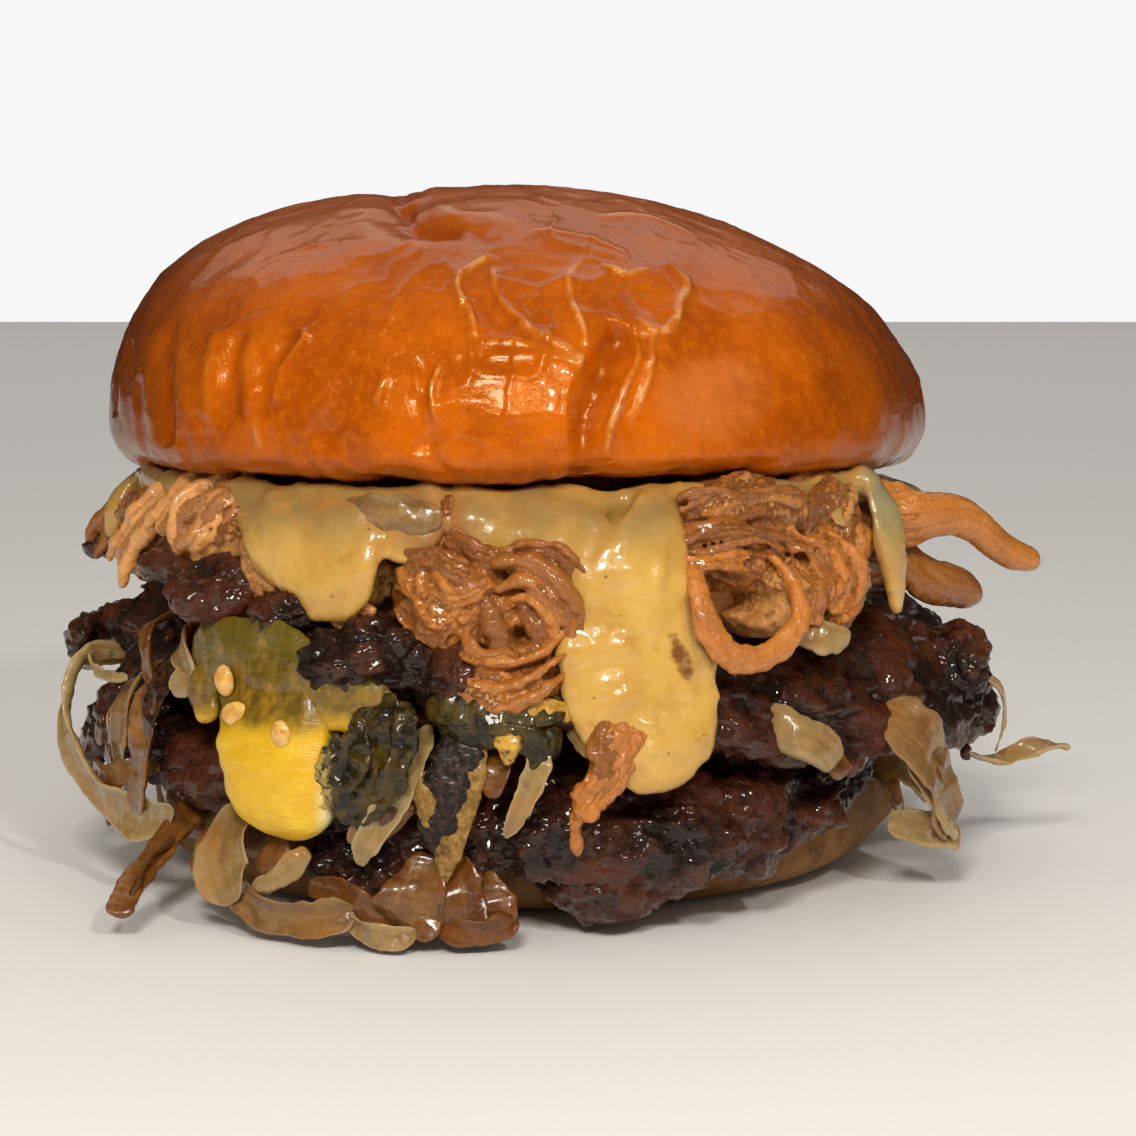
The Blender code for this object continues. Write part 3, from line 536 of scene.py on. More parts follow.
def makeTopBun():
    # A dome whose radius at a share of its rise is (1 - rise^p)^(1/p), fuller at the left. Below its
    # widest line it rolls in by a quarter circle to a flat cut face. Folds and swells push the crust in
    # or out.
    size = topBun
    domeEnd, roll = size["domeEnd"], size["roll"]
    even = ringTurns(size["columns"])
    # more of the columns stand at the front
    turn = even - 0.58 * np.cos(even)
    along = np.concatenate([np.linspace(0.012, domeEnd, 132), np.linspace(domeEnd, 0.81, 42)[1:],
                            np.linspace(0.81, 0.99, 14)[1:]])[:, None]
    left = (1 - np.cos(turn)) / 2
    power = size["rightPower"] + (size["leftPower"] - size["rightPower"]) * left
    rise = np.cos(np.minimum(along / domeEnd, 1) * math.pi / 2)
    domeRadius = size["radius"] * (1 - rise**power) ** (1 / power)
    domeHeight = size["widest"] + (size["top"] - size["widest"]) * rise
    share = np.maximum(0, (along - domeEnd) / (1 - domeEnd))
    quarter = np.minimum(share / 0.5, 1) * math.pi / 2
    torn = 0.7 * np.sin(11 * turn + 1) * np.sin(5 * turn) + 0.25 * np.sin(23 * turn + 2 * np.sin(7 * turn))
    torn = torn + 0.1 * np.sin(61 * turn + 3 * np.sin(13 * turn))
    lift = size["frontLift"] * np.maximum(0, -np.sin(turn)) + torn
    rollRadius = size["radius"] - roll * (1 - np.cos(quarter))
    rollHeight = size["widest"] - (size["widest"] - size["cut"] - lift) * np.sin(quarter)
    flatRadius = (size["radius"] - roll) * (1 - share) / 0.5
    flatHeight = size["cut"] + lift * (1 - smoothStep(share, 0.5, 0.62))
    onDome, onRoll = along <= domeEnd, share < 0.5
    radius = np.where(onDome, domeRadius, np.where(onRoll, rollRadius, flatRadius))
    height = np.where(onDome, domeHeight, np.where(onRoll, rollHeight, flatHeight))
    wave = 0.8 * np.sin(3 * turn + 0.6) + 0.5 * np.sin(7 * turn)
    radius = radius + wave * smoothStep(along, 0.3, 0.55) * (1 - smoothStep(along, size["crustEnd"], 0.95))
    points = around(radius, turn, height)
    outward = unit((points - (0, 0, size["widest"])) * (1, 1, 2.2))
    crust = smoothStep(size["crustEnd"] - along, 0, 0.12)
    swell = 0.5 * softNoise(points, 14, 3) + 0.2 * softNoise(points, 5, 4) + 0.05 * softNoise(points, 1.8, 5)
    nearRim = smoothStep(along, 0.66, 0.76) * (1 - smoothStep(along, 0.86, 0.95))
    edgeLumps = 0.6 * roughNoise(points, 5.5, 3, 8) * nearRim
    depth = foldDepth(points, outward)
    points = points + outward * ((swell - depth + crinkles(points)) * crust + edgeLumps)[..., None]
    # the fold depth goes in as tint; the crust paints shade in the valleys and highlights on the crests from
    # it
    return body(points, np.clip(depth / 2.5, -1, 1), along)


def glazedCrust():
    crust = Finish("glazedCrust", {"Specular IOR Level": 0.45, "Coat Roughness": 0.07, "Coat IOR": 1.4,
                                   "Specular Tint": (1.0, 0.6, 0.22, 1)})
    places = crust.places()
    x, y, z = crust.axis(places, "X"), crust.axis(places, "Y"), crust.axis(places, "Z")
    blotch = crust.noise(places, 11, 4, 0.55)
    fine = crust.noise(places, 1.3, 3, 0.6)
    speck = crust.cells(places, 0.62)
    grain = crust.noise(places, 0.42, 2, 0.6)
    crust.colour = crust.mix(blotch.step(0.3, 0.72), (0.38, 0.064, 0.001), (0.62, 0.124, 0.0014))
    crust.paint(fine.step(0.4, 0.75) * 0.3, (0.72, 0.18, 0.003))
    top = z.step(68, 88)
    crust.paint(top * 0.8, (0.36, 0.075, 0.006))
    # painted shade: the left and right sides darker, where the dome turns away from the light
    leftSide = (x * -1).step(30, 56)
    rightSide = x.step(26, 57)
    crust.paint(leftSide * 0.93 + rightSide * 0.7, (0.13, 0.024, 0.001))
    low = 1 - z.step(53.5, 60)
    crust.paint(low * 0.55, (0.3, 0.06, 0.002))
    streak = crust.noise(crust.places((1, 1, 0.22)), 3.2, 3, 0.6).step(0.52, 0.75)
    crust.paint(streak * 0.35, (0.33, 0.055, 0.002))
    # a painted pinkish reflection of a soft light on the front right of the crust
    roseReflection = (1 - (x.squared(25, 0.018) + z.squared(65, 0.035)).step(0.2, 1.5)) * (1 - y.step(-10, 0))
    crust.paint(roseReflection * blotch.step(0.3, 0.6) * 0.4, (0.6, 0.2, 0.06))
    dots = (1 - speck.step(0.1, 0.32)) * fine.step(0.42, 0.6)
    crust.paint(dots * 0.32, (0.8, 0.26, 0.015))
    pores = (1 - crust.cells(places, 1.7).step(0.06, 0.16)) * (1 - fine.step(0.4, 0.5))
    crust.paint(pores * 0.5, (0.2, 0.03, 0.002))
    # painted shade: darker in the fold valleys, read from the fold depth carried in the tint attribute
    valleyShade = crust.own("tint").step(0.12, 0.9)
    crust.paint(valleyShade * 0.6, (0.25, 0.04, 0.002))
    # painted highlights: paler along the raised crests, with broken bright glints on the front ones
    crest = (crust.own("tint") * -1).step(0.06, 0.2)
    crust.paint(crest * 0.25, (0.8, 0.26, 0.02))
    glint = (crust.own("tint") * -1).step(0.14, 0.3) * crust.noise(places, 1.5, 3, 0.6).step(0.42, 0.6)
    glint = glint * (1 - y.step(-30, -20))
    crust.paint(glint * 0.3, (0.98, 0.62, 0.26))
    under = crust.own("edge").step(0.82, 0.86)
    crust.paint(under, (0.75, 0.46, 0.16))
    rough = 0.17 + 0.12 * fine.step(0.3, 0.8) + 0.1 * top * (1 - crest) + 0.4 * under - 0.06 * crest
    skin = crust.bump(grain, 0.1, 0.6)
    skin = crust.bump(crust.noise(places, 2.2, 4, 0.55), 0.35, 0.45, skin)
    return crust.feed({"Roughness": rough, "Coat Weight": 0.26 + 0.6 * crest, "Normal": skin})


makePiece("bunCrown", makeTopBun(), glazedCrust(), "top_bun")


# the bottom bun
bottomBun = {
    "radius": 48.5, "height": 13.4, "foot": 43, "columns": 300,
    # shares of the way from the middle of its top to that of its foot where the top and the side end
    "topEnd": 0.3, "sideEnd": 0.75,
}


def makeBottomBun():
    # A flat base and top joined by a half circle's bulge, wider at the right, with a dented side.
    size = bottomBun
    topEnd, sideEnd = size["topEnd"], size["sideEnd"]
    turn = ringTurns(size["columns"])
    along = np.concatenate([np.linspace(0.01, topEnd, 12), np.linspace(topEnd, sideEnd, 60)[1:],
                            np.linspace(sideEnd, 0.99, 14)[1:]])[:, None]
    wave = 1 + 0.02 * np.sin(2 * turn + 1) + 0.012 * np.sin(5 * turn)
    reach = size["radius"] * wave + 3.2 * smoothStep(np.cos(turn), 0.3, 1.0)
    foot = size["foot"] * wave
    angle = np.clip((along - topEnd) / (sideEnd - topEnd), 0, 1) * math.pi
    inner = np.where(angle < math.pi / 2, reach - 2, foot)
    radius = inner + (reach - inner) * np.sin(angle)
    radius = np.where(along < topEnd, (reach - 2) * along / topEnd, radius)
    radius = np.where(along > sideEnd, foot * (1 - along) / (1 - sideEnd), radius)
    points = around(radius, turn, size["height"] / 2 * (1 + np.cos(angle)))
    side = np.sin(angle)
    dent = 0.7 * roughNoise(points, 8, 3, 21) + 0.25 * softNoise(points, 2.2, 22)
    points = points + unit(points * (1, 1, 0)) * (dent * side)[..., None]
    return body(points, side, along)


def heelCrust():
    crust = Finish("heelCrust", {"Specular IOR Level": 0.25})
    places = crust.places()
    z = crust.axis(places, "Z")
    blotch = crust.noise(places, 7, 4, 0.6)
    stain = crust.noise(places, 3.2, 4, 0.65)
    crust.colour = crust.mix(blotch.step(0.38, 0.62), (0.085, 0.026, 0.004), (0.24, 0.095, 0.02))
    crust.colour = crust.mix(z.step(2, 11) * 0.4, (0.26, 0.12, 0.034), crust.colour)
    crust.paint(stain.step(0.5, 0.64) * 0.7, (0.1, 0.028, 0.006))
    pale = crust.noise(places, 1.6, 4, 0.6)
    crust.paint(pale.step(0.5, 0.7) * 0.5, (0.3, 0.15, 0.05))
    rough = 0.5 + 0.25 * stain
    skin = crust.bump(crust.noise(places, 1.1, 4, 0.6), 0.3, 0.8)
    return crust.feed({"Roughness": rough, "Normal": skin})


makePiece("bunHeel", makeBottomBun(), heelCrust(), "bottom_bun")


# the patties: reach and drop of the edge are given every 45 degrees from the right
lowerPatty = {
    "height": 20.2, "thick": 7.4, "fold": 40, "salt": 1,
    "reach": (49, 52, 55, 53, 51, 55, 57, 54.5),
    "drop": (1, 4, 9, 5, 2, 7, 13, 12.5),
}
upperPatty = {
    "height": 32, "thick": 8, "fold": 40, "salt": 6,
    "reach": (65.5, 58, 55, 57, 50, 54, 54.5, 59.5),
    "drop": (15.5, 8, 3, 7, -3.5, 0.5, 1, 14),
}


def layerRings(size, columns, rows, lump):
    # A soft round layer. Its middle line runs level to the fold, then along a curve with three guide
    # points: fold, a corner 82% of the way out at nearly the same height, and the dropped edge. The
    # section is that line thickened both ways and rounded off over its last two fifths. It gives the
    # points and how far out each ring is.
    turn = ringTurns(columns)
    reach = aroundStack(size["reach"], turn)
    drop = aroundStack(size["drop"], turn) if np.ndim(size["drop"]) else size["drop"] + 0 * turn
    height, fold = size["height"], size["fold"]
    out = 1 - (1 - np.linspace(0, 1, rows)) ** 1.5
    # a few rings close it inside, where other layers hide it
    hidden = 5
    inner = np.linspace(0.03, 0.93, hidden)
    out = np.concatenate([np.zeros(hidden), out, out[::-1][1:], np.zeros(hidden)])[:, None]
    share = np.concatenate([inner, np.ones(2 * rows - 1), inner[::-1]])[:, None]
    side = np.concatenate([np.ones(hidden + rows), -np.ones(hidden + rows - 1)])[:, None]
    corner = fold + 0.82 * (reach - fold)
    radius = ((1 - out) ** 2 * fold + 2 * out * (1 - out) * corner + out**2 * reach) * share
    level = (1 - out) ** 2 * height + 2 * out * (1 - out) * (height - 0.06 * drop) + out**2 * (height - drop)
    run = 2 * (1 - out) * (corner - fold) + 2 * out * (reach - corner)
    climb = -2 * (1 - out) * 0.06 * drop - 2 * out * 0.94 * drop
    slope = np.arctan2(climb, run) * (share == 1)
    tip = np.maximum(0, (out - 0.6) / 0.4)
    rounding = np.sqrt(np.maximum(0, 1 - tip * tip))
    half = size["thick"] / 2 * rounding
    normal = np.stack([-np.sin(slope) * side, np.cos(slope) * side], axis=-1)
    tangent = np.stack([np.cos(slope), np.sin(slope)], axis=-1)
    flat = np.stack([radius, level], axis=-1) + normal * half[..., None]
    push = normal * rounding[..., None] + tangent * tip[..., None]
    points, away = around(flat[..., 0], turn, flat[..., 1]), around(push[..., 0], turn, push[..., 1])
    return points + away * (lump(points) * smoothStep(out, 0.12, 0.5))[..., None], out


def meatLumps(size):
    # mince: big lobes, then nuggets a few millimetres across with clefts between them, then grit
    def lump(points):
        salt = size["salt"]
        warped = points + 2.6 * np.stack([roughNoise(points, 4, 2, salt + 40 + k) for k in range(3)], axis=-1)
        near, far = cellNoise(warped, 6.5, salt)
        small, smallFar = cellNoise(warped, 2.6, salt + 9)
        lobes = 1.9 * softNoise(points, 12, salt) + 1.5 * softNoise(points, 5.5, salt + 1)
        nuggets = 0.55 * smoothStep(far - near, 0, 0.4) - 0.4
        grit = 0.16 * smoothStep(smallFar - small, 0, 0.4) - 0.1
        return lobes + nuggets + grit + 0.75 * roughNoise(points * (1, 1, 1.3), 2.6, 4, salt + 2)
    return lump


def mincePiece(points, lump, edge):
    # its tint follows how far its lumps stand out; the mince paints the clefts dark as shade from it
    return body(points, np.clip(lump / 3 + 0.5, 0, 1), edge)


def makePatty(size):
    points, out = layerRings(size, 560, 66, meatLumps(size))
    return mincePiece(points, meatLumps(size)(points), out)


# lobes that hang from the patties: their middles, and their half sizes in the same order
pattyLobes = {
    "lower": (
        at((-160, 51.5, 21.5), (-166, 50.5, 30.5))
        + front((15.5, 10.5, 53.5), (28, 11.5, 52.5), (3.5, 12.5, 54), (-17.5, 8.4, 55), (-6, 9.6, 55.5),
                (12, 6.4, 52.5)),
        [(6.5, 7, 8.5), (6, 6, 5.5), (13.5, 6.5, 6.2), (6.5, 6.5, 6.6), (8, 6, 5.6), (7.6, 5.6, 4.8),
         (5.5, 5, 5), (8, 5, 4.2)]),
    "upper": (
        front((-16, 34.2, 57.2), (-7.5, 32.4, 56.2), (-25, 38.4, 54.4))
        + at((-131, 53.6, 41), (-141, 52.4, 42), (-16, 61.5, 26.5)),
        [(9.8, 6.4, 5.4), (5.5, 6, 4.4), (7, 5.5, 3.6), (7.5, 6, 3.8), (6.5, 5.5, 3.6), (5.5, 6.5, 6)]),
}


def hangingLobes(key, size):
    # stretched balls pushed out by the same mince as the patty they belong to
    rise = np.linspace(0.02, math.pi - 0.02, 74)[:, None]
    ball = around(np.sin(rise), ringTurns(132), np.cos(rise))
    bodies = []
    for centre, half in zip(*pattyLobes[key]):
        points = np.array(centre) + ball * half
        lump = meatLumps(size)(points)
        bodies.append(mincePiece(points + ball * (0.8 * lump)[..., None], lump, 1.0))
    return joined(bodies)


def crumbs(size, count):
    # loose bits of mince stuck along the patty's outer edge
    draw = np.random.default_rng(size["salt"])
    turn = draw.uniform(0, math.tau, count)
    far = aroundStack(size["reach"], turn)
    fall = aroundStack(size["drop"], turn)
    share = draw.uniform(0.3, 1.0, count)
    radius = far - 1.2 + 1.4 * draw.uniform(-1, 1, count) - 1.5 * (1 - share)
    height = size["height"] - fall * share + draw.uniform(-0.42, 0.36, count) * size["thick"]
    sizes = draw.uniform(0.9, 2.6, (count, 1)) * draw.uniform(0.6, 1.4, (count, 3))
    return lumps(around(radius, turn, height), sizes, 9, 7, 0.8, size["salt"], draw.uniform(0.2, 0.8, count))


def searedMince():
    meat = Finish("searedMince", {"Specular IOR Level": 0.2, "Coat Roughness": 0.06, "Coat IOR": 1.42})
    places = meat.places()
    blotch = meat.noise(places, 9, 4, 0.6)
    char = meat.noise(places, 6, 5, 0.65)
    fine = meat.noise(places, 1.1, 4, 0.65)
    height = meat.own("tint")
    meat.colour = meat.mix(blotch.step(0.35, 0.68), (0.03, 0.0066, 0.002), (0.088, 0.019, 0.0055))
    meat.paint(fine.step(0.5, 0.75) * 0.5, (0.12, 0.034, 0.011))
    # painted shade: near black in the clefts between lumps, and lighter on the raised lumps
    meat.paint(height.step(0.5, 0.8) * 0.35, (0.12, 0.03, 0.011))
    meat.paint((1 - height.step(0.2, 0.5)) * 0.8, (0.006, 0.003, 0.002))
    meat.paint(char.step(0.52, 0.66) * 0.7, (0.014, 0.006, 0.003))
    rosy = meat.noise(places, 5, 3, 0.5).step(0.58, 0.74)
    meat.paint(rosy * 0.3, (0.12, 0.018, 0.009))
    rough = 0.17 + 0.4 * fine.step(0.3, 0.7)
    wet = meat.noise(places, 3.5, 3, 0.6).step(0.38, 0.55)
    skin = meat.bump(meat.noise(places, 0.55, 3, 0.6), 0.5, 0.9)
    skin = meat.bump(meat.cells(places, 1.6), 0.5, 0.5, skin)
    return meat.feed({"Roughness": rough, "Coat Weight": 0.1 + 0.85 * wet, "Normal": skin})


mince = searedMince()
for side, size, count in (("Lower", lowerPatty, 150), ("Upper", upperPatty, 130)):
    node = side.lower() + "_patty"
    makePiece("patty" + side, joined([makePatty(size), crumbs(size, count)]), mince, node)
    makePiece("patty" + side + "Lobes", hangingLobes(side.lower(), size), mince, node)


def weldedSmooth(name, surfaces, voxel, rounds):
    # one skin around overlapping closed pieces: a voxel remesh, then each point eased to its neighbours
    merged = joined(surfaces)
    mesh = bpy.data.meshes.new(name)
    faces = merged["quads"].tolist() + merged["tris"].tolist()
    mesh.from_pydata((merged["points"] * millimetre).tolist(), [], faces)
    mesh.update()
    shape = bpy.data.objects.new(name, mesh)
    bpy.context.scene.collection.objects.link(shape)
    remesh = shape.modifiers.new("weld", "REMESH")
    remesh.mode = "VOXEL"
    remesh.voxel_size = voxel * millimetre
    ease = shape.modifiers.new("ease", "SMOOTH")
    ease.factor, ease.iterations = 0.5, rounds
    bpy.context.view_layer.update()
    skin = bpy.data.meshes.new_from_object(shape.evaluated_get(bpy.context.evaluated_depsgraph_get()))
    bpy.data.objects.remove(shape)

    def read(entries, field, kind, width=1):
        values = np.empty(len(entries) * width, kind)
        entries.foreach_get(field, values)
        return values

    points = read(skin.vertices, "co", np.float32, 3).reshape(-1, 3).astype(float) / millimetre
    normals = read(skin.vertex_normals, "vector", np.float32, 3).reshape(-1, 3).astype(float)
    sides = read(skin.polygons, "loop_total", np.int32)
    corners = read(skin.loops, "vertex_index", np.int32)
    starts = np.cumsum(sides) - sides
    quads, tris = (corners[starts[sides == count][:, None] + np.arange(count)] for count in (4, 3))
    # every new point takes over the values of the old point nearest to it
    tree = KDTree(len(merged["points"]))
    for number, place in enumerate(merged["points"].tolist()):
        tree.insert(place, number)
    tree.balance()
    nearest = np.array([tree.find(place)[1] for place in points.tolist()])
    taken = {key: merged[key][nearest] for key in ("lay", "tint", "edge")}
    return {"points": points, "normals": normals, "quads": quads, "tris": tris, **taken}


def pushedOut(skin, push):
    skin["points"] = skin["points"] + skin["normals"] * push[:, None]
    return skin


# the cheese sauce
sauceSheet = {
    "height": 50, "thick": 2.4, "fold": 44,
    "reach": (51.5, 52.5, 53, 52, 50.5, 53, 53.5, 53), "drop": 1.6,
}
# each run of sauce: the points it passes, its widths and its thicknesses
sauceRuns = [
    # the main run at the front, and the shoulder that feeds it
    (front((18.5, 53.5, 51), (18.3, 50.6, 55.5), (17, 45.8, 58), (15.6, 41, 59.3), (16, 35, 60.3),
           (16.7, 29.5, 61), (17.8, 24.3, 61.6), (19.8, 18.6, 61.8)),
     [9, 9.5, 12, 15.5, 20, 19.5, 18, 13], [3, 3, 2.6, 2.6, 3, 3.4, 4, 4.4]),
    (front((22.5, 35, 59.5), (22.2, 28, 61), (21.4, 22, 61.6)), [7, 8, 7], [2.6, 3.2, 3.6]),
    # the broad pool left of it
    (front((5, 54, 51), (5.2, 49.4, 55.6), (6.8, 44.6, 57.6), (10, 40, 58.8), (12, 33, 59.6)),
     [15, 15, 12, 9, 6], [3.4, 3.2, 2.8, 2.6, 2]),
    (front((-3.5, 54, 51), (-3, 50, 54.6), (-1, 46.5, 56)), [8, 8, 5], [3, 3, 2]),
    # the lobe at the front left, which runs down to the right
    (front((-22, 54, 50.5), (-23, 49.5, 54.8), (-20.5, 44.6, 57.2), (-16.4, 40.6, 58.6)),
     [21, 19, 14, 8.5], [3.2, 3.2, 3, 2.8]),
    (front((-31, 53, 51), (-30, 49.5, 54), (-26, 45.5, 56), (-21, 42.6, 57.4)),
     [8, 8, 8, 6], [2.6, 2.6, 2.4, 2.4]),
    (front((-12.5, 54, 51), (-11.8, 50, 55), (-12, 45.5, 57)), [9, 9, 6], [3, 2.6, 2]),
    # the film under the rim, painted dark as shade under the bun, and the narrow run at the right
    (front((25, 52.8, 52.5), (33, 52.4, 53.2), (41, 52.2, 53.6), (46.5, 51.6, 53.8)),
     [4, 4, 4.5, 5], [2.2, 2.2, 2.2, 2.2]),
    (front((45.2, 53.4, 53.5), (47, 50, 57), (48.7, 43.5, 58.5), (49.8, 35.5, 58.6)),
     [8, 6.4, 5.4, 3], [2.4, 2.6, 2.6, 2.2]),
    (front((40, 52.5, 53), (41.5, 49.5, 55.6), (42, 47, 56.4)), [6, 5, 3], [2, 2, 1.6]),
    # left and back
    (at((-172, 49, 51), (-171, 53.5, 48.5), (-170, 55, 43)), [12, 10, 6], [3, 3, 3]),
    (at((152, 49, 51), (153, 55, 48), (155, 57, 41), (155, 57.4, 35)), [13, 11, 9, 7], [3, 3, 3.2, 3.6]),
    (at((118, 49, 51), (117, 55, 48), (115, 58, 41)), [14, 13, 8], [3.2, 3, 3]),
    (at((72, 49, 51), (73, 56, 47.5), (75, 58.5, 38), (76, 59.5, 28)), [18, 15, 12, 10], [3.2, 3, 3.2, 4]),
    (at((28, 49, 51), (29, 55, 48), (31, 57.5, 38)), [15, 13, 8], [3.2, 3, 3.4]),
    (at((-8, 49, 51), (-8, 54, 48.6), (-7, 55.5, 45)), [12, 10, 6], [3, 2.6, 2.4]),
]


# short ridges that catch the light: how far right, how high, half length and lean in radians
sauceRidges = [
    (18.4, 45, 3, 1.4), (11.6, 37.8, 1, 1), (13.8, 36.9, 1, 1.7), (12.4, 32.4, 1.4, 0.5),
    (14, 30.5, 1.5, 0.3), (16.6, 27.1, 2.2, -0.2), (21.8, 30.7, 1.1, -0.4), (22, 33, 0.8, -0.9),
    (16.8, 24.2, 1.3, -0.4),
]


def makeSauce():
    # A sheet, a lip under the bun and flattened runs with round ends, all in one skin, rippled by noise.
    sheet, _ = layerRings(sauceSheet, 200, 14, lambda points: 0.5 * softNoise(points, 7, 60))
    lip = at(*[(azimuth, 51.6, 52.2) for azimuth in np.linspace(-168, -24, 9)])
    bodies = [body(sheet, 0, 0), ribbon(lip, [4.5] * 9, 2.8, 90, columns=12, rough=0.5, roughSize=5, salt=61)]
    for salt, (points, widths, thick) in enumerate(sauceRuns, 62):
        bodies.append(ribbon(points, widths, thick, 44, columns=22, wrap=52, blunt=5, square=0.8,
                             jag=0.06, rough=0.4, roughSize=5, salt=salt))
    skin = weldedSmooth("sauce", bodies, 0.62, 11)
    places = skin["points"]
    x, y, z = places.T
    push = 0.3 * softNoise(places * (0.6, 0.6, 1.25), 2.8, 72)
    push += 0.16 * softNoise(places, 2.4, 70)
    push += 0.5 * softNoise(places, 6, 71)
    for left, high, half, lean in sauceRidges:
        # a bell curve along the ridge and a narrower one across it
        along = (x - left) * math.cos(lean) + (z - high) * math.sin(lean)
        across = (z - high) * math.cos(lean) - (x - left) * math.sin(lean)
        push += 0.46 * np.exp(-(along / half) ** 2 - (across / 0.85) ** 2) * (y < -40)
    return pushedOut(skin, push)


def cheeseSauce():
    sauce = Finish("cheeseSauce", {"Specular IOR Level": 0.4, "Coat Weight": 0.8, "Coat Roughness": 0.045,
                                   "Coat IOR": 1.4, "Subsurface Weight": 0.12, "Subsurface Scale": 0.002,
                                   "Subsurface Radius": (1, 0.6, 0.25)})
    places = sauce.places()
    x, z = sauce.axis(places, "X"), sauce.axis(places, "Z")
    blotch = sauce.noise(places, 9, 3, 0.5)
    fine = sauce.noise(places, 1.6, 4, 0.6)
    sauce.colour = sauce.mix(blotch.step(0.3, 0.7), (0.56, 0.3, 0.055), (0.7, 0.42, 0.09))
    # darker near the top, under the bun's rim: painted shade of the overhang, over a thinner film
    thinFilmAndRimShade = z.step(45, 52) * blotch.step(0.25, 0.6)
    sauce.paint(thinFilmAndRimShade * 0.85, (0.28, 0.17, 0.06))
    side = x.step(43, 47) * z.step(40, 50)
    sauce.paint(side * 0.8, (0.3, 0.27, 0.14))
    stain = sauce.noise(places, 5, 4, 0.65).step(0.54, 0.7)
    sauce.paint(stain * 0.55, (0.46, 0.18, 0.035))
    rim = sauce.own("edge").step(0.72, 1) * fine.step(0.3, 0.6)
    sauce.paint(rim * 0.5, (0.52, 0.24, 0.05))
    film = x.squared(24, 0.09) + z.squared(38.5, 0.03) + (blotch - 0.5) * 1.6
    sauce.paint((1 - film.step(0.2, 1.3)) * 0.6, (0.38, 0.25, 0.1))
    # meat that shows through where the run is thin
    lean = (x - 20.8) + (z - 34.8) * 0.35
    off = lean.squared(0, 0.55) + z.squared(34.8, 0.12) + (fine - 0.5) * 2.4
    sauce.paint((1 - off.step(0.15, 1.15)) * 0.88, (0.17, 0.035, 0.01))
    under = x.squared(-8.5, 0.04) + z.squared(50, 0.05) + (blotch - 0.5) * 1.4
    sauce.paint((1 - under.step(0.3, 1.3)) * (1 - sauce.axis(places, "Y").step(-40, -30)) * 0.8,
                (0.4, 0.18, 0.055))
    pepper = (1 - sauce.cells(places, 2.4).step(0.045, 0.085)) * sauce.noise(places, 2.2, 1).step(0.48, 0.56)
    sauce.paint(pepper * 0.85, (0.06, 0.03, 0.015))
    spice = (1 - sauce.cells(places, 1.3).step(0.05, 0.12)) * fine.step(0.5, 0.6)
    sauce.paint(spice * 0.55, (0.55, 0.22, 0.03))
    rough = 0.2 + 0.22 * fine.step(0.35, 0.75)
    skin = sauce.bump(sauce.noise(places, 2.4, 3, 0.5), 0.5, 0.5)
    return sauce.feed({"Roughness": rough, "Normal": skin})


makePiece("sauce", makeSauce(), cheeseSauce(), "cheese_sauce")


# the pulled pork
porkHeap = {
    "height": 42.9, "thick": 11.6, "fold": 36,
    "reach": (51, 51.5, 52.5, 51.5, 50, 51, 51.5, 51.5), "drop": 1,
}
# combed masses: azimuth, radius and height of the middle, half sizes across and up, how far they bulge,
# strands, the lean of their fibres in degrees, their tone, and the middle, reach and depth of a hole
porkMasses = {
    "front": [
        ((-96, 52.5, 41.6), (8, 7), 7.2, 95, -35, 0.7, (7.6, -4.2, 1.4, 3)),
        ((-88.6, 52.5, 37.6), (7.6, 7.4), 7.6, 80, 35, 0.66, (0.4, -0.2, 1.35, 6)),
        ((-90, 53, 31.6), (7.4, 4.2), 9, 50, 4, 0.55),
        ((-98, 52, 48.6), (6.5, 5), 3.6, 80, -60, 0.35),
    ],
    "right": [
        ((-57.5, 52, 50.2), (9, 4.6), 4.8, 70, 6, 0.36, (-1, -1.6, 2.2, 1.6)),
        ((-60, 52, 44.8), (7.5, 4), 4.6, 60, -5, 0.85),
        ((-44.5, 53, 40.8), (6.6, 6.8), 6.2, 80, 62, 0.72),
        ((-42, 52, 48.8), (7, 5.4), 3.6, 80, 25, 0.35),
        ((-54, 52, 39.8), (4.8, 5), 7.6, 20, 80, 0.2, (-4, 0.2, 2, 9)),
        ((-28, 51.5, 44), (8, 6), 3.6, 60, 40, 0.5),
    ],
    "left": [
        ((-137, 51, 47), (9, 6.5), 3.4, 50, 72, 0.12),
        ((-120, 51.8, 43.6), (13, 5.6), 3.4, 60, -22, 0.12),
        ((-158, 51, 44.5), (9, 6), 3.4, 70, 50, 0.45),
    ],
    "back": [
        ((-8, 51, 43), (12, 6.5), 3.8, 70, 20, 0.5, (2, 0, 2, 3)),
        ((22, 51, 42.5), (12, 7), 4.2, 80, -20, 0.6),
        ((52, 52, 42.5), (11, 7.5), 4.8, 80, 30, 0.45, (-2, 1, 2, 3)),
        ((92, 52.5, 42.5), (13, 8), 4.6, 95, -10, 0.6, (3, 0, 2.4, 3)),
        ((132, 52, 42.5), (12, 7.5), 4.6, 85, 15, 0.5),
        ((172, 50.5, 43.5), (12, 7), 4, 80, -30, 0.4, (-2, -1, 2, 3)),
    ],
}


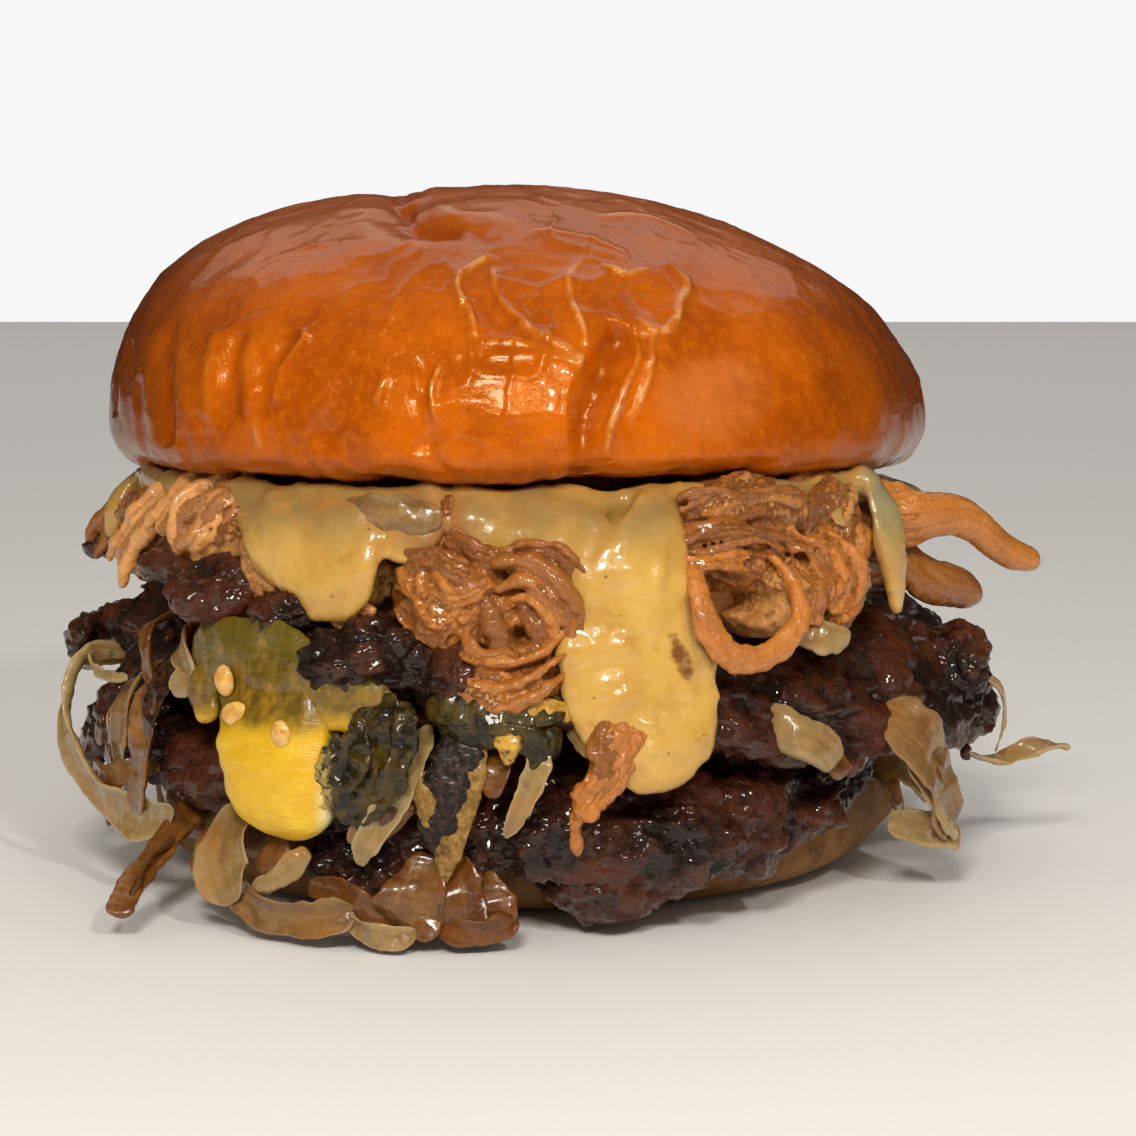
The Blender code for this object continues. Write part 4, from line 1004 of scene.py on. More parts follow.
def combedStrands(mass, salt):
    # Each strand steps along a field of directions, the lean turned by noise. Its depth is an ellipse's
    # bulge less a bell-shaped hole; a rough closed mound of the same outline fills the space behind.
    (azimuth, radius, height), (halfWide, halfTall), bulge, count, lean, tone, *holes = mass
    lean = math.radians(lean)
    draw = np.random.default_rng(salt)
    angle = draw.uniform(0, math.tau, count)
    reach = np.sqrt(draw.uniform(0, 1, count)) * 0.97
    spot = np.stack([reach * np.cos(angle) * halfWide, reach * np.sin(angle) * halfTall], axis=-1)
    stride = draw.uniform(0.35, 1.05, count)[:, None]
    own = draw.normal(0, 0.3, count)
    path = []
    for _ in range(13):
        path.append(spot.copy())
        heading = lean + 1.25 * softNoise(withThird(spot, salt * 9.0), 4.2, salt) + own
        spot = spot + np.stack([np.cos(heading), np.sin(heading)], axis=-1) * stride
        inside = np.sqrt((spot[:, 0] / halfWide) ** 2 + (spot[:, 1] / halfTall) ** 2)[:, None]
        spot = spot / np.maximum(1, inside / 1.05)
    path = np.stack(path, axis=1)

    def laid(flat, sink):
        # wraps flat places round the burger: across, up and how far below the bulging surface
        inside = (flat[..., 0] / halfWide) ** 2 + (flat[..., 1] / halfTall) ** 2
        depth = bulge * np.sqrt(np.maximum(0, 1.12 - inside)) - sink
        salted = withThird(flat, salt * 5.0)
        depth = depth + 0.9 * softNoise(salted, 3.4, salt + 3) + 0.6 * softNoise(salted, 1.6, salt + 4)
        for holeX, holeY, holeReach, holeDeep in holes:
            away = np.linalg.norm(flat - (holeX, holeY), axis=-1)
            depth = depth - holeDeep * np.exp(-((away / holeReach) ** 4))
        return around(radius + depth, math.radians(azimuth) + flat[..., 0] / radius, height + flat[..., 1])

    width = draw.gamma(2.2, 0.24, count)[:, None] + 0.55
    tint = np.clip(tone + 0.27 * draw.normal(size=count), 0.15, 1)
    routes = laid(path, draw.uniform(-0.35, 1.0, count)[:, None])
    strands = ribbons(routes, width, 0.6 * width + 0.3, columns=8, blunt=5, rough=0.12, roughSize=1.2,
                      jag=0.2, roll=draw.normal(0, 0.5, count)[:, None], salt=salt, tint=tint)
    turn = ringTurns(40)
    outward = np.linspace(0.04, 1, 14)[:, None]
    rim = np.stack([outward * np.cos(turn) * halfWide, outward * np.sin(turn) * halfTall], axis=-1)
    mound = np.concatenate([laid(rim, 0.3), laid(rim[::-1], bulge + 4.0)])[None]
    flat = np.concatenate([rim, rim[::-1]])
    bend = 1.4 * softNoise(withThird(flat, salt * 3.0), 3.5, salt)
    lay = np.stack([flat @ (-math.sin(lean), math.cos(lean)) + bend, flat @ (math.cos(lean), math.sin(lean)),
                    np.full(bend.shape, salt * 7.0)], axis=-1)[None]
    blank = np.zeros(mound.shape[:-1])
    return [closedTubes(mound, lay, blank + tone * 0.7, blank), strands]


# strips laid one by one: points, width, thickness, how many strands share it, tint
porkStrips = {
    "front": [
        # thick arcs over the right side of the front knot, and lobes round its small hole
        (front((-1.4, 44.6, 59.2), (3.2, 45, 60.4), (7, 42, 60.6), (8.4, 37.6, 60)),
         [2.2, 2.8, 2.8, 2], 2, 2, 0.55),
        (front((0.2, 42.6, 60), (4, 42.6, 60.8), (6.6, 39.4, 60.6), (6.2, 35.8, 60)),
         [1.6, 2.2, 2.2, 1.6], 1.6, 2, 0.7),
        (front((-0.6, 46.6, 57.8), (5.4, 47, 58.8), (9, 43.6, 58.6), (10, 39, 57.8)),
         [2, 2.6, 2.6, 1.8], 1.8, 3, 0.45),
        (front((-3, 41.6, 59.4), (-1.2, 38.8, 60.6), (-1.6, 35.8, 60.4)), [2, 2.8, 2.2], 2, 1, 0.25),
        (front((1.4, 40.8, 58.8), (3.8, 39, 60), (3.6, 36.6, 60)), [1.8, 2.4, 1.8], 1.8, 1, 0.2),
        # the strands that sag below it
        (front((-8.4, 36.4, 58.4), (-4.4, 33.6, 61.2), (0.6, 33.4, 62.4), (5.2, 35.2, 61.8),
               (8.4, 38.6, 59.6)),
         [1.8, 2.4, 2.6, 2.4, 1.6], 1.9, 2, 0.75),
        (front((-6.8, 34.2, 59), (-2.4, 30.8, 61.4), (2.8, 31.4, 62.2), (6.8, 34.2, 60.4)),
         [1.6, 2.2, 2.4, 1.6], 1.8, 2, 0.55),
        (front((-8.2, 33.6, 58.2), (-5, 29.6, 60.2), (0.2, 28.6, 61.4), (5.8, 29.8, 60.2)),
         [1.8, 2.4, 2.6, 1.8], 1.7, 3, 0.48),
        (front((-4, 31.8, 60.2), (0.8, 30, 61.8), (5.2, 31.4, 61)), [1.4, 1.8, 1.4], 1.4, 1, 0.62),
        (front((-5.4, 37.4, 59.6), (-2.4, 35, 61.2), (1.6, 34.9, 61.2)), [1.2, 1.8, 1.2], 1.4, 1, 0.5),
        # rough strands over its upper left
        (front((-12.6, 41, 57), (-10, 37.6, 59), (-6.6, 36.6, 60.4)), 2.2, 1.6, 4, 0.5),
        (front((-12, 45.5, 56.6), (-8.4, 46.8, 58.8), (-4.4, 45, 60)), 2.4, 1.6, 4, 0.45),
        (front((-9, 43.4, 59.2), (-5, 42.4, 60.6), (-1.4, 44.4, 60.2)), 1.8, 1.4, 3, 0.7),
        (front((-7, 49.5, 56), (-3.6, 47.6, 57.8), (1, 46.6, 59)), 2.2, 1.4, 4, 0.4),
    ],
    "right": [
        # the two fingers
        (at((-31, 50, 47.6), (-26, 55.5, 47.8), (-20, 60.5, 46.4), (-14, 66, 42.8), (-9.8, 71.4, 41.4)),
         [7.6, 7.2, 5, 4, 5.4], 4.2, 1, 0.95),
        (at((-31, 50, 49.5), (-26, 56, 49.4), (-21, 59.6, 47.4)), [3.6, 3, 2.2], 2.4, 2, 0.8),
        (at((-28, 50, 45), (-22, 56, 41.6), (-17, 60.5, 38), (-13, 64.8, 35)),
         [6.4, 6.8, 6.4, 6.2], 4.6, 1, 0.45),
        # the loop
        (front((22.6, 45.6, 57), (23.4, 41, 60.8), (24.2, 37, 61.9), (27.4, 33.8, 62.3), (31.8, 34.2, 62),
               (35, 37.8, 61.6), (34.6, 42.2, 60.6), (31.6, 45.8, 58.2)),
         [2.8, 3.2, 3.7, 3.6, 3.2, 2.8, 2.3, 1.8], 2.2, 1, 0.92),
        # ridges and knobs of the right lobe
        (front((38.6, 47.4, 55), (41.2, 44.5, 57.9), (42.2, 40.4, 58.9), (40, 37, 58.4)), 3.6, 3, 5, 0.95),
        (front((36, 44.6, 56.5), (37.6, 40.8, 59.6), (37, 36.6, 59.6)), 3.2, 2.8, 4, 0.7),
        (front((43.6, 49, 54), (45.2, 45.5, 56.4), (44.6, 41.4, 56.6)), 2.4, 2.4, 3, 0.85),
        (front((33.6, 47.6, 56.4), (36.8, 46.4, 58), (39.4, 43.4, 58.6)), 2, 1.6, 3, 0.6),
        # rough sheets above
        (front((20.5, 51, 54), (28, 52, 56.3), (37, 50.6, 56)), 4, 2.2, 6, 0.3),
        (front((20, 47.4, 55.5), (27, 48.2, 57.8), (34, 47.2, 57.4)), 3.6, 2, 6, 0.42),
        (front((19.6, 44.6, 57), (24.5, 45.2, 58.6), (30, 44.8, 58.2)), 2.4, 1.8, 4, 0.9),
    ],
    "left": [
        # the squared chunk, the pale flap outside it, and strips between them
        (at((-131.5, 49.5, 53.4), (-133.5, 54, 50.2), (-136, 55.6, 46.2), (-137.4, 55.2, 42.8)),
         7.4, 3.6, 5, 0.1),
        (at((-139.5, 49.5, 53.4), (-141.5, 54, 50.4), (-143.6, 55.4, 46.4)), 3.4, 2.6, 3, 0.16),
        (at((-145, 48, 53), (-148, 54, 49.5), (-151, 56.4, 44.5), (-154, 56.8, 39.9)), 5, 2, 4, 0.08),
        (at((-129, 49, 54), (-130.5, 53, 51.6), (-134, 54.9, 48)), 3.6, 2, 4, 0.1),
        (at((-126, 51, 50), (-120, 54.9, 44.6), (-114, 56.4, 41), (-106, 57.2, 38.6)), 4.4, 2.2, 6, 0.1),
        (at((-135, 50.5, 43.6), (-129, 54.2, 41.8), (-121, 55.4, 39.8)), 3.4, 2.2, 4, 0.2),
        (at((-168, 48, 50), (-171, 54.5, 47), (-174, 58, 41)), 4, 2.6, 4, 0.4),
    ],
    "back": [
        (at((160, 47, 46), (163, 56, 43.5), (166, 61, 40)), 3.6, 2.8, 4, 0.8),
        (at((66, 47, 46), (62, 57, 44), (58, 62.4, 37)), 3.6, 2.8, 4, 0.7),
        (at((100, 49, 46), (104, 56, 44), (108, 58.5, 37)), 4.4, 2.8, 4, 0.3),
        (at((142, 49, 46), (138, 56, 43), (133, 58, 38)), 4, 2.8, 4, 0.15),
        (at((38, 49, 46), (42, 55.5, 44), (47, 57.5, 37.5)), 4.4, 2.8, 4, 0.9),
        (at((6, 49, 46), (8, 55.5, 43), (10, 57, 38.5)), 4, 2.8, 4, 0.5),
    ],
}


def sharedStrip(points, width, thick, count, tint, salt):
    # strands side by side along one line; each keeps its own distance from it, which wanders
    draw = np.random.default_rng(salt)
    steps = 14 * len(points)
    line = curveThrough(points, steps)
    along = unit(np.gradient(line, axis=0))
    beside = unit(np.cross(along, unit(line * (1, 1, 0))))
    away = np.cross(beside, along)
    share = np.linspace(0, 1, steps)[None, :]
    wander = lambda size: size * np.sin(share * draw.uniform(4, 11, (count, 1)) + draw.uniform(0, 6,
                                                                                               (count, 1)))
    across = np.linspace(-0.42, 0.42, count)[:, None] if count > 1 else np.zeros((1, 1))
    across = (across + wander(0.14)) * np.max(width)
    proud = (draw.uniform(-0.22, 0.22, (count, 1)) + wander(0.12)) * thick
    routes = line[None] + across[..., None] * beside + proud[..., None] * away
    girth = spread(width, steps)[None, :] if np.ndim(width) else width
    ends = 1 - 0.25 * draw.uniform(0, 1, (count, 1)) * smoothStep(share, 0.7, 1)
    widths = girth / count**0.75 * draw.uniform(0.8, 1.35, (count, 1)) * ends + 0 * share
    calm = 0.4 if count < 3 else 1
    tints = np.clip(tint + draw.uniform(-0.12, 0.12, count), 0, 1)
    return ribbons(routes, widths, np.minimum(thick, widths * 1.1) + 0.1, columns=12, blunt=5,
                   rough=0.2 * calm,
                   roughSize=1.6 / calm, jag=0.14 * calm, salt=salt, wrap=60, tint=tints)


def porkPart(key, voxel, salt):
    # one stretch of meat: mounds and strands joined into one skin, roughened along its normals
    bodies = []
    for number, mass in enumerate(porkMasses[key], salt):
        bodies += combedStrands(mass, number)
    bodies += [sharedStrip(*strip, number) for number, strip in enumerate(porkStrips[key], salt + 20)]
    skin = weldedSmooth("pork", bodies, voxel, 5)
    push = 0.2 * roughNoise(skin["points"], 1.7, 3, salt) + 0.15 * softNoise(skin["points"], 3, salt + 1)
    push = push + 0.13 * softNoise(skin["points"], 0.95, salt + 2)
    # the two fingers at the right stay smoother
    push = push * (1 - 0.8 * smoothStep(skin["points"][:, 0], 50, 56))
    return pushedOut(skin, push)


def heapCore():
    lump = lambda points: 1.5 * roughNoise(points, 6.5, 3, 80) + 0.3 * softNoise(points, 1.4, 82)
    heap, out = layerRings(porkHeap, 260, 20, lump)
    return body(heap, np.clip(0.2 + 0.4 * roughNoise(heap, 5, 2, 83), 0, 1), out)


def glazedPork():
    pork = Finish("glazedPork", {"Specular IOR Level": 0.4, "Coat Weight": 0.7, "Coat Roughness": 0.07,
                                 "Coat IOR": 1.4, "Subsurface Weight": 0.08, "Subsurface Scale": 0.0015,
                                 "Subsurface Radius": (1.0, 0.45, 0.2)})
    places = pork.places()
    along = pork.layPlaces((1, 0.06, 1))
    fibre = pork.noise(along, 0.42, 3, 0.55)
    blotch = pork.noise(places, 6, 3, 0.55)
    fine = pork.noise(places, 1.2, 3, 0.6)
    tint = pork.own("tint")
    pork.colour = pork.mix(tint.step(0.3, 0.95), (0.26, 0.08, 0.012), (0.6, 0.205, 0.03))
    pork.paint((1 - tint.step(0.05, 0.3)) * 0.9, (0.86, 0.4, 0.12))
    pork.paint(blotch.step(0.42, 0.75) * 0.45, (0.3, 0.09, 0.012))
    pork.paint(fibre.step(0.5, 0.75) * 0.3, (0.76, 0.36, 0.11))
    pork.paint((1 - fibre.step(0.2, 0.42)) * 0.2, (0.16, 0.04, 0.006))
    pork.paint(fine.step(0.62, 0.78) * 0.22, (0.18, 0.05, 0.009))
    x, z = pork.axis(places, "X"), pork.axis(places, "Z")
    # painted shade: near black in the hole inside the loop at the right
    holeShade = x.squared(29.0, 0.4) + z.squared(39.2, 0.12) + (fine - 0.5) * 0.8
    pork.paint((1 - holeShade.step(0.35, 1.1)) * (1 - pork.axis(places, "Y").step(-59, -56)) * 0.9,
               (0.02, 0.005, 0.001))
    rough = 0.2 + 0.28 * fine.step(0.3, 0.75)
    skin = pork.bump(fibre, 0.34, 0.7)
    skin = pork.bump(pork.noise(places, 0.6, 3, 0.6), 0.36, 0.75, skin)
    return pork.feed({"Roughness": rough, "Normal": skin})


pork = glazedPork()
makePiece("porkHeap", joined([heapCore(), porkPart("back", 0.5, 90)]), pork, "pulled_pork")
makePiece("porkKnot", porkPart("front", 0.3, 130), pork, "pulled_pork")
makePiece("porkRight", porkPart("right", 0.34, 170), pork, "pulled_pork")
makePiece("porkLeft", porkPart("left", 0.34, 210), pork, "pulled_pork")

# the rough shred over the sauce
shredStrips = [
    (front((13.6, 28.8, 60.6), (13.6, 26, 62.4), (12.6, 22.6, 63), (11, 18.8, 63), (9.4, 15, 62.4),
           (8.8, 11.2, 61.6)),
     [4.6, 6.4, 6, 4.6, 3, 2.4], 3, 1, 0.72),
    (front((15.6, 28.4, 61), (15.6, 25.4, 62.6), (14.4, 22, 62.8)), [2.6, 3, 1.8], 2.4, 1, 0.9),
    (front((10.6, 27.4, 61), (11.4, 24.6, 62.6), (11.6, 21, 63)), [2, 2.6, 2], 2.4, 1, 0.5),
    (front((13.2, 22, 63), (12, 18.6, 63.4), (9.6, 15.6, 63)), [2.2, 2.4, 1.6], 2, 1, 0.95),
]
shredBodies = [sharedStrip(*strip, salt) for salt, strip in enumerate(shredStrips, 250)]
shred = weldedSmooth("shred", shredBodies, 0.26, 2)
ragged = 0.5 * roughNoise(shred["points"], 2.4, 3, 255) + 0.22 * roughNoise(shred["points"], 1.0, 2, 256)
makePiece("porkShred", pushedOut(shred, ragged), pork, "pork_shred")


# the roasted pepper
seedPlaces = front((-34.5, 30.4, 60.4), (-32.9, 26.7, 61.7), (-27, 25.2, 63.3))
seedSizes = [(2.9, 1.7, 3.8), (4.3, 1.5, 3.2), (2.8, 1.3, 3.2)]
# strips: points, widths, thicknesses, steps along, and what else shapes them
pepperStrips = {
    "flesh": [
        # the thick bulging yellow flesh, and the green ones that fold away above it
        (front((-28, 34.5, 54.5), (-28.6, 30.5, 58), (-28.4, 25.5, 60.6), (-27.8, 20, 61.6),
               (-27, 15.4, 61.4), (-26.4, 12.2, 59.8)),
         [17, 18, 16.6, 15.4, 14, 8.5], [3.4, 4.2, 4.8, 4.8, 4.6, 3.6], 110,
         dict(columns=52, wrap=30, blunt=7, square=0.7, rough=0.3, roughSize=5, jag=0.05, salt=200)),
        (front((-38.5, 29.5, 55.4), (-36, 32.8, 57.4), (-29, 33, 59.2), (-20, 30.2, 60.6), (-11.5, 27, 60)),
         [5, 9, 11, 9, 4.5], [2.4, 3, 3.4, 3.2, 2], 100,
         dict(columns=34, rough=0.45, roughSize=4.2, jag=0.05, curl=0.06, wrap=30, salt=201)),
        (front((-35.2, 33, 57), (-37.6, 28.6, 57.4), (-37, 24.4, 58.2)),
         [4.6, 5.4, 3.4], [2.6, 3, 2.2], 50, dict(columns=20, rough=0.3, jag=0.05, salt=202)),
    ],
    "skin": [
        # the crinkled band of burnt skin, its ridge, its flap and its torn edge
        (front((-15.5, 30, 60.6), (-14.6, 26.4, 62.2), (-15.6, 22.4, 62.8), (-17.8, 18.4, 62.6),
               (-20, 15, 61.8)),
         [7, 9, 9.6, 8.6, 4], [2, 2.2, 2.2, 2.2, 1.6], 110,
         dict(columns=44, rough=0.8, roughSize=3, jag=0.24, curl=0.14, blunt=5, salt=210)),
        (front((-12.4, 29.8, 61.4), (-11.8, 26, 62.9), (-13, 21.8, 63.4), (-16, 17.4, 63.2)),
         [2.4, 3, 3, 1.8], [1.4, 1.6, 1.6, 1.2], 70,
         dict(columns=20, rough=0.6, roughSize=2.2, jag=0.3, roll=0.5, salt=215)),
        (front((-17.8, 28.4, 62), (-17.2, 24.6, 63.4), (-18.6, 20.6, 63.6), (-20.4, 17.4, 62.8)),
         [2.4, 3.4, 3.4, 2], [1.2, 1.4, 1.4, 1], 70,
         dict(columns=20, rough=0.6, roughSize=2.2, jag=0.3, roll=-0.6, salt=216)),
        (front((-20.2, 25.6, 61.6), (-20.8, 21.6, 62.6), (-21.8, 17.8, 62.4), (-22.6, 15.2, 61.6)),
         [3.2, 3.4, 3.4, 2.6], [1.6, 1.8, 1.8, 1.4], 60,
         dict(columns=20, rough=0.6, roughSize=1.8, jag=0.35, salt=211)),
        # the dark green strips that run off to the right
        (front((-9.5, 28.6, 60.2), (-6, 29, 61.4), (-1, 28.2, 61.9), (4, 28.6, 61.4), (7, 29.4, 60.4)),
         [3.4, 4.2, 4.2, 4.2, 3], [1.8, 2, 2, 2, 1.6], 80,
         dict(columns=26, rough=0.4, roughSize=2.8, jag=0.16, curl=0.15, roll=0.4, salt=212)),
        (front((-8, 26.8, 60.4), (-3.6, 26, 61.8), (1.2, 26.4, 62), (4.6, 24.6, 61.6), (6.2, 26.8, 60.8)),
         [3.4, 3.6, 3.4, 3.6, 2.4], [1.6, 1.8, 1.8, 1.8, 1.4], 80,
         dict(columns=26, rough=0.4, roughSize=2.8, jag=0.16, curl=0.15, roll=-0.5, salt=213)),
        (front((0.2, 27.4, 60.8), (2.4, 25, 62.2), (4.6, 22.6, 61.6)),
         [3, 4.4, 3.4], [1.4, 1.8, 1.4], 50, dict(columns=22, rough=0.6, roughSize=1.8, jag=0.2, salt=214)),
    ],
    "tip": [
        # the torn yellow tip that hangs from them
        (front((-0.6, 26.6, 62.4), (0.6, 25, 63), (0.2, 22.6, 62.6)),
         [3.6, 3.2, 1.2], [1.2, 1.4, 0.9], 40, dict(columns=18, rough=0.3, jag=0.3, salt=220)),
        (front((2.6, 28.6, 62), (5.6, 29.2, 61.6), (7.6, 27.4, 60.6)),
         [2, 2.4, 1.6], [1, 1.2, 0.9], 40, dict(columns=16, rough=0.3, jag=0.3, salt=221)),
    ],
}


def laidStrips(strips):
    return joined([ribbon(*shape, **look) for *shape, look in strips])


def yellowFlesh():
    flesh = Finish("yellowFlesh", {"Specular IOR Level": 0.55, "Coat Weight": 0.35, "Coat IOR": 1.4,
                                   "Coat Roughness": 0.06, "Subsurface Weight": 0.12,
                                   "Subsurface Scale": 0.0025, "Subsurface Radius": (1.0, 0.6, 0.1)})
    places = flesh.places()
    x, z = flesh.axis(places, "X"), flesh.axis(places, "Z")
    wander = flesh.noise(places, 5, 4, 0.6)
    fine = flesh.noise(flesh.places((1, 1, 0.6)), 1.4, 4, 0.6)
    flesh.colour = flesh.mix(wander.step(0.3, 0.7), (0.78, 0.42, 0.006), (0.87, 0.56, 0.02))
    green = (z + (wander - 0.5) * 5 + (x + 28) * -0.08).step(24.2, 27.6)
    olive = flesh.mix(fine.step(0.35, 0.7), (0.13, 0.075, 0.003), (0.3, 0.17, 0.006))
    olive = flesh.mix(z.step(30, 35) * 0.7, olive, (0.12, 0.09, 0.006))
    flesh.paint(green, olive)
    amber = flesh.noise(places, 3.4, 3, 0.6).step(0.55, 0.72) * z.step(21, 27)
    flesh.paint(amber * 0.5, (0.62, 0.28, 0.015))
    torn = x.step(-23.4, -21.2) * (1 - z.step(17, 22)) * wander.step(0.3, 0.55)
    flesh.paint(torn * 0.85, (0.82, 0.74, 0.42))
    rough = 0.24 + 0.2 * fine
    threads = flesh.noise(flesh.places((0.16, 0.16, 1)), 0.8, 3, 0.6)
    flesh.paint(threads.step(0.54, 0.7) * (1 - green) * 0.25, (0.9, 0.66, 0.07))
    skin = flesh.bump(fine, 0.3, 0.7)
    skin = flesh.bump(threads, 0.3, 0.7, skin)
    skin = flesh.bump(wander, 0.8, 0.5, skin)
    return flesh.feed({"Roughness": rough, "Normal": skin})


def paleSeed():
    seed = Finish("paleSeed", {"Roughness": 0.32, "Coat Weight": 0.4, "Coat Roughness": 0.1,
                               "Subsurface Weight": 0.1, "Subsurface Scale": 0.001})
    places = seed.places()
    seed.colour = seed.mix(seed.noise(places, 1.1, 3).step(0.35, 0.65), (0.7, 0.34, 0.06), (0.84, 0.5, 0.14))
    seed.paint(seed.noise(places, 0.7, 2).step(0.62, 0.7) * 0.6, (0.4, 0.16, 0.02))
    return seed.feed({"Normal": seed.bump(seed.noise(places, 0.8, 2), 0.2, 0.5)})


def burntPepper():
    burnt = Finish("burntPepper", {"Specular IOR Level": 0.25, "Coat Weight": 0.7, "Coat Roughness": 0.07,
                                   "Coat IOR": 1.4})
    places = burnt.places()
    x, z = burnt.axis(places, "X"), burnt.axis(places, "Z")
    blotch = burnt.noise(places, 3.4, 4, 0.6)
    fine = burnt.noise(places, 0.9, 4, 0.65)
    burnt.colour = burnt.mix(blotch.step(0.38, 0.62), (0.075, 0.044, 0.003), (0.016, 0.012, 0.002))
    burnt.paint(fine.step(0.5, 0.72) * 0.55, (0.12, 0.075, 0.008))
    burnt.paint(burnt.noise(places, 2.2, 4, 0.7).step(0.52, 0.62) * 0.85, (0.008, 0.007, 0.007))
    tan = (1 - (x + (blotch - 0.5) * 5).step(-21.6, -20.6)) * (1 - z.step(26, 28))
    burnt.paint(tan * 0.85, (0.5, 0.36, 0.1))
    burnt.paint(tan * fine.step(0.52, 0.6), (0.03, 0.025, 0.01))
    rough = 0.16 + 0.3 * fine.step(0.3, 0.7)
    skin = burnt.bump(fine, 0.4, 0.7)
    skin = burnt.bump(burnt.noise(places, 2.0, 2, 0.5), 0.8, 0.7, skin)
    return burnt.feed({"Roughness": rough, "Normal": skin})


makePiece("pepperFlesh", laidStrips(pepperStrips["flesh"]), yellowFlesh(), "roasted_pepper")
makePiece("pepperSeeds", lumps(seedPlaces, seedSizes, 26, 18, 0.12, 5), paleSeed())
makePiece("pepperSkin", laidStrips(pepperStrips["skin"]), burntPepper(), "green_pepper")


def amberPepper():
    amber = Finish("amberPepper", {"Roughness": 0.3, "Coat Weight": 0.6, "Coat Roughness": 0.08})
    places = amber.places()
    amber.colour = amber.mix(amber.noise(places, 1.6, 3, 0.6).step(0.35, 0.65), (0.42, 0.2, 0.012),
                             (0.68, 0.4, 0.04))
    amber.paint(amber.noise(places, 1.0, 3, 0.6).step(0.58, 0.68), (0.08, 0.04, 0.01))
    return amber.feed({"Normal": amber.bump(amber.noise(places, 0.9, 3), 0.3, 0.6)})


makePiece("pepperTip", laidStrips(pepperStrips["tip"]), amberPepper())


# the burnt onion: the blackened strip, the tan edge inside it and a scrap at its left
burntStrips = [
    (front((-6, 26.8, 60), (-5.6, 23.2, 61.8), (-6.8, 19, 62.4), (-8, 15, 62.2), (-8.4, 11.4, 61.4)),
     [4, 6.6, 6, 4.4, 1.6], [1, 1.2, 1.3, 1.2, 0.8], 90,
     dict(columns=30, rough=0.35, roughSize=1.8, jag=0.12, curl=-0.06, salt=230, tint=[0.1])),
    (front((-2.8, 25.8, 60.6), (-3.6, 21.6, 62), (-5.2, 17, 62.2), (-6.6, 12.4, 61.8), (-7.4, 7.6, 60.8)),
     [1.8, 2.8, 3.4, 3.2, 1.4], [1.1, 1.4, 1.5, 1.4, 0.9], 90,
     dict(columns=22, rough=0.25, jag=0.12, curl=0.08, salt=231, tint=[0.9])),
    (front((-9.4, 21.5, 61.2), (-9.2, 18.6, 62.2), (-9, 14.6, 62)),
     [2.6, 3.4, 2], [1.2, 1.4, 1], 40, dict(columns=18, rough=0.3, jag=0.2, salt=232, tint=[0.75])),
]


def scorchedOnion():
    scorched = Finish("scorchedOnion", {"Specular IOR Level": 0.25, "Coat Weight": 0.15,
                                        "Coat Roughness": 0.15})
    places = scorched.places()
    tint = scorched.own("tint")
    fine = scorched.noise(places, 0.8, 4, 0.65)
    black = scorched.mix(fine.step(0.45, 0.65), (0.01, 0.006, 0.005), (0.06, 0.03, 0.022))
    specks = 1 - scorched.cells(places, 0.75).step(0.15, 0.3)
    black = scorched.mix(specks * 0.6, black, (0.13, 0.08, 0.06))
    tan = scorched.mix(fine.step(0.35, 0.7), (0.2, 0.095, 0.014), (0.4, 0.23, 0.06))
    tan = scorched.mix(scorched.noise(places, 2.4, 3, 0.6).step(0.55, 0.7) * 0.8, tan, (0.05, 0.025, 0.01))
    scorched.colour = scorched.mix(tint.step(0.3, 0.6), black, tan)
    return scorched.feed({"Roughness": 0.3 + 0.4 * fine, "Normal": scorched.bump(fine, 0.3, 0.6)})


makePiece("burntOnionStrip", laidStrips(burntStrips), scorchedOnion(), "charred_onion")


# the onions: a sheet under each patty, and strips laid over its edge
upperSheet = {"height": 25.9, "thick": 3, "fold": 40, "reach": (50, 49, 51, 49, 50, 51, 51, 50), "drop": 0.2}
lowerSheet = {"height": 14.9, "thick": 2, "fold": 40, "reach": (46, 46, 47, 46, 48, 52.5, 50.5, 46),
              "drop": (0.2, 0.2, 0.5, 0.2, 1, 8.5, 7, 0.2)}
